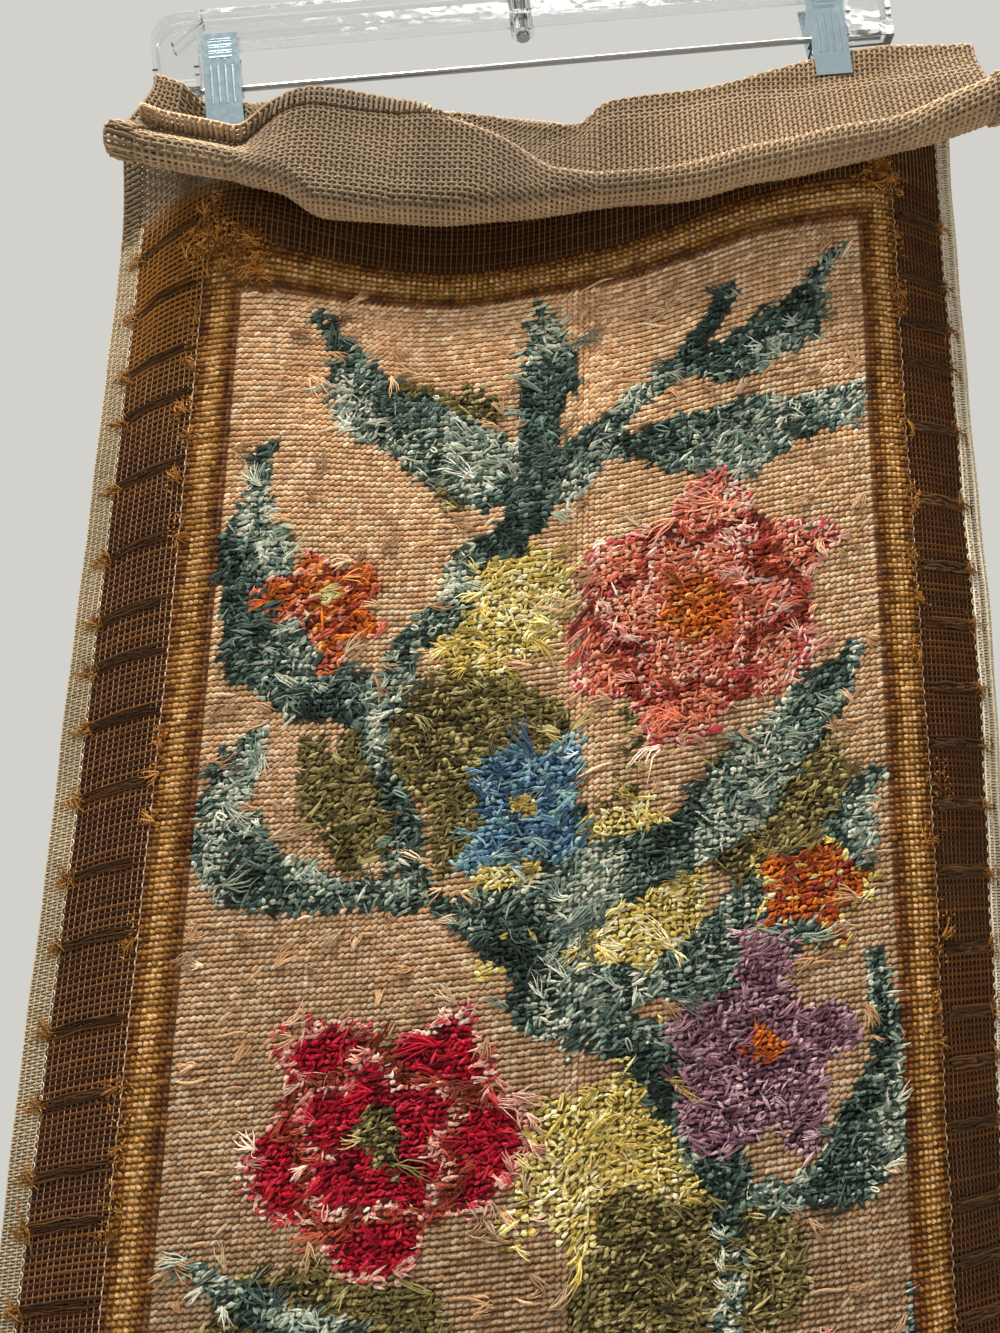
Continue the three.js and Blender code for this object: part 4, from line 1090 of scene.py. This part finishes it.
# the studio: a pale floor, soft light from above and in front, an even pale surround
studio = {"floorDrop": 0.05, "floorRadius": 1.75, "surround": "d3d1cb", "beside": "585b5d", "fill": 0.43}
lamps = tableRows("name place target wide tall power", [
    ("keyLamp", (-0.4, -0.6, 0.95), (0, 0, -0.45), 0.4, 0.4, 43),
    ("topLamp", (0.1, 0.15, 0.8), (0, 0, -0.3), 0.5, 0.5, 24),
    ("lineLamp", (-0.1, -0.8, 0.62), (0, 0, -0.1), 1.6, 0.04, 2.2),
])


def makeStudio():
    low, _ = cadBounds
    radius = studio["floorRadius"]
    rim = [(radius * math.cos(turn), radius * math.sin(turn), low.z - studio["floorDrop"])
           for turn in np.linspace(0, 2 * math.pi, 64, endpoint=False)]
    mesh = bpy.data.meshes.new("studioFloor")
    mesh.from_pydata(rim, [], [list(range(len(rim)))])
    paint, tree, shader = newMaterial("palePaintedFloor")
    setInputs(tree, shader, {"Base Color": linearColour(studio["surround"]), "Roughness": 0.9})
    mesh.materials.append(paint)
    addObject("studioFloor", mesh)
    for values in lamps:
        lamp = bpy.data.lights.new(values["name"], "AREA")
        lamp.shape, lamp.energy = "RECTANGLE", values["power"]
        lamp.size, lamp.size_y = values["wide"], values["tall"]
        holder = addObject(values["name"], lamp)
        holder.location = values["place"]
        away = Vector(values["target"]) - Vector(values["place"])
        holder.rotation_euler = away.to_track_quat("-Z", "Y").to_euler()
        holder.visible_transmission = False


# its surround lights everything evenly, and is seen as a pale wall that darkens to the sides in reflections
def makeSurround():
    world = bpy.data.worlds.new("surround")
    bpy.context.scene.world = world
    world.use_nodes = True
    tree = world.node_tree
    light = tree.nodes["Background"]
    setInputs(tree, light, {"Color": (1, 1, 1, 1), "Strength": studio["fill"]})
    path = addNode(tree, "ShaderNodeLightPath").outputs
    camera, glossy, clear = [path["Is %s Ray" % ray] for ray in ("Camera", "Glossy", "Transmission")]
    way = addNode(tree, "ShaderNodeTexCoord").outputs["Generated"]
    ahead = addNode(tree, "ShaderNodeSeparateXYZ", {"Vector": way}).outputs["Y"]
    amount = addNode(tree, "ShaderNodeMath", {0: ahead}, operation="ABSOLUTE")
    facing = addNode(tree, "ShaderNodeMapRange", {
        "Value": amount, "From Min": 0.12, "From Max": 0.5, "To Min": 0.0, "To Max": 1.0})
    pale = addNode(tree, "ShaderNodeMath", {0: facing, 1: camera}, operation="MAXIMUM")
    tone = addNode(tree, "ShaderNodeMix", {
        "Factor": pale, "A": linearColour(studio["beside"]), "B": linearColour(studio["surround"])},
        data_type="RGBA").outputs["Result"]
    seen = addNode(tree, "ShaderNodeBackground", {"Color": tone, "Strength": 1.0})
    mirrored = addNode(tree, "ShaderNodeMath", {0: camera, 1: glossy}, operation="MAXIMUM")
    either = addNode(tree, "ShaderNodeMath", {0: mirrored, 1: clear}, operation="MAXIMUM")
    choice = addNode(tree, "ShaderNodeMixShader", {0: either, 1: light, 2: seen})
    setInputs(tree, tree.nodes["World Output"], {"Surface": choice})


# the viewer stands close below the middle and looks a little up
def makeCamera():
    values = {"place": (0.0041, -0.5946, -0.5650), "up": 15.5, "roll": 1.35, "lens": 39.16, "sensor": 36}
    up, roll = math.radians(values["up"]), math.radians(values["roll"])
    level = Vector((1, 0, 0))
    ahead = Vector((0, math.cos(up), math.sin(up)))
    head = Vector((0, -math.sin(up), math.cos(up)))
    right = level * math.cos(roll) + head * math.sin(roll)
    over = head * math.cos(roll) - level * math.sin(roll)
    data = bpy.data.cameras.new("viewer")
    data.lens, data.sensor_width = values["lens"], values["sensor"]
    camera = addObject("viewer", data)
    facing = Matrix((right, over, -ahead)).transposed().to_4x4()
    camera.matrix_world = Matrix.Translation(values["place"]) @ facing
    bpy.context.scene.camera = camera


makeCamera()
makeStudio()
makeSurround()
bpy.context.scene.view_settings.view_transform = "Standard"
for grain in (woolGrain, woolFleck):
    bpy.data.objects.remove(grain)
print("studio set")

total = sum(len(p.vertices) - 2 for piece in [panel] + threadPieces for p in piece.data.polygons)
print("triangles added:", total)
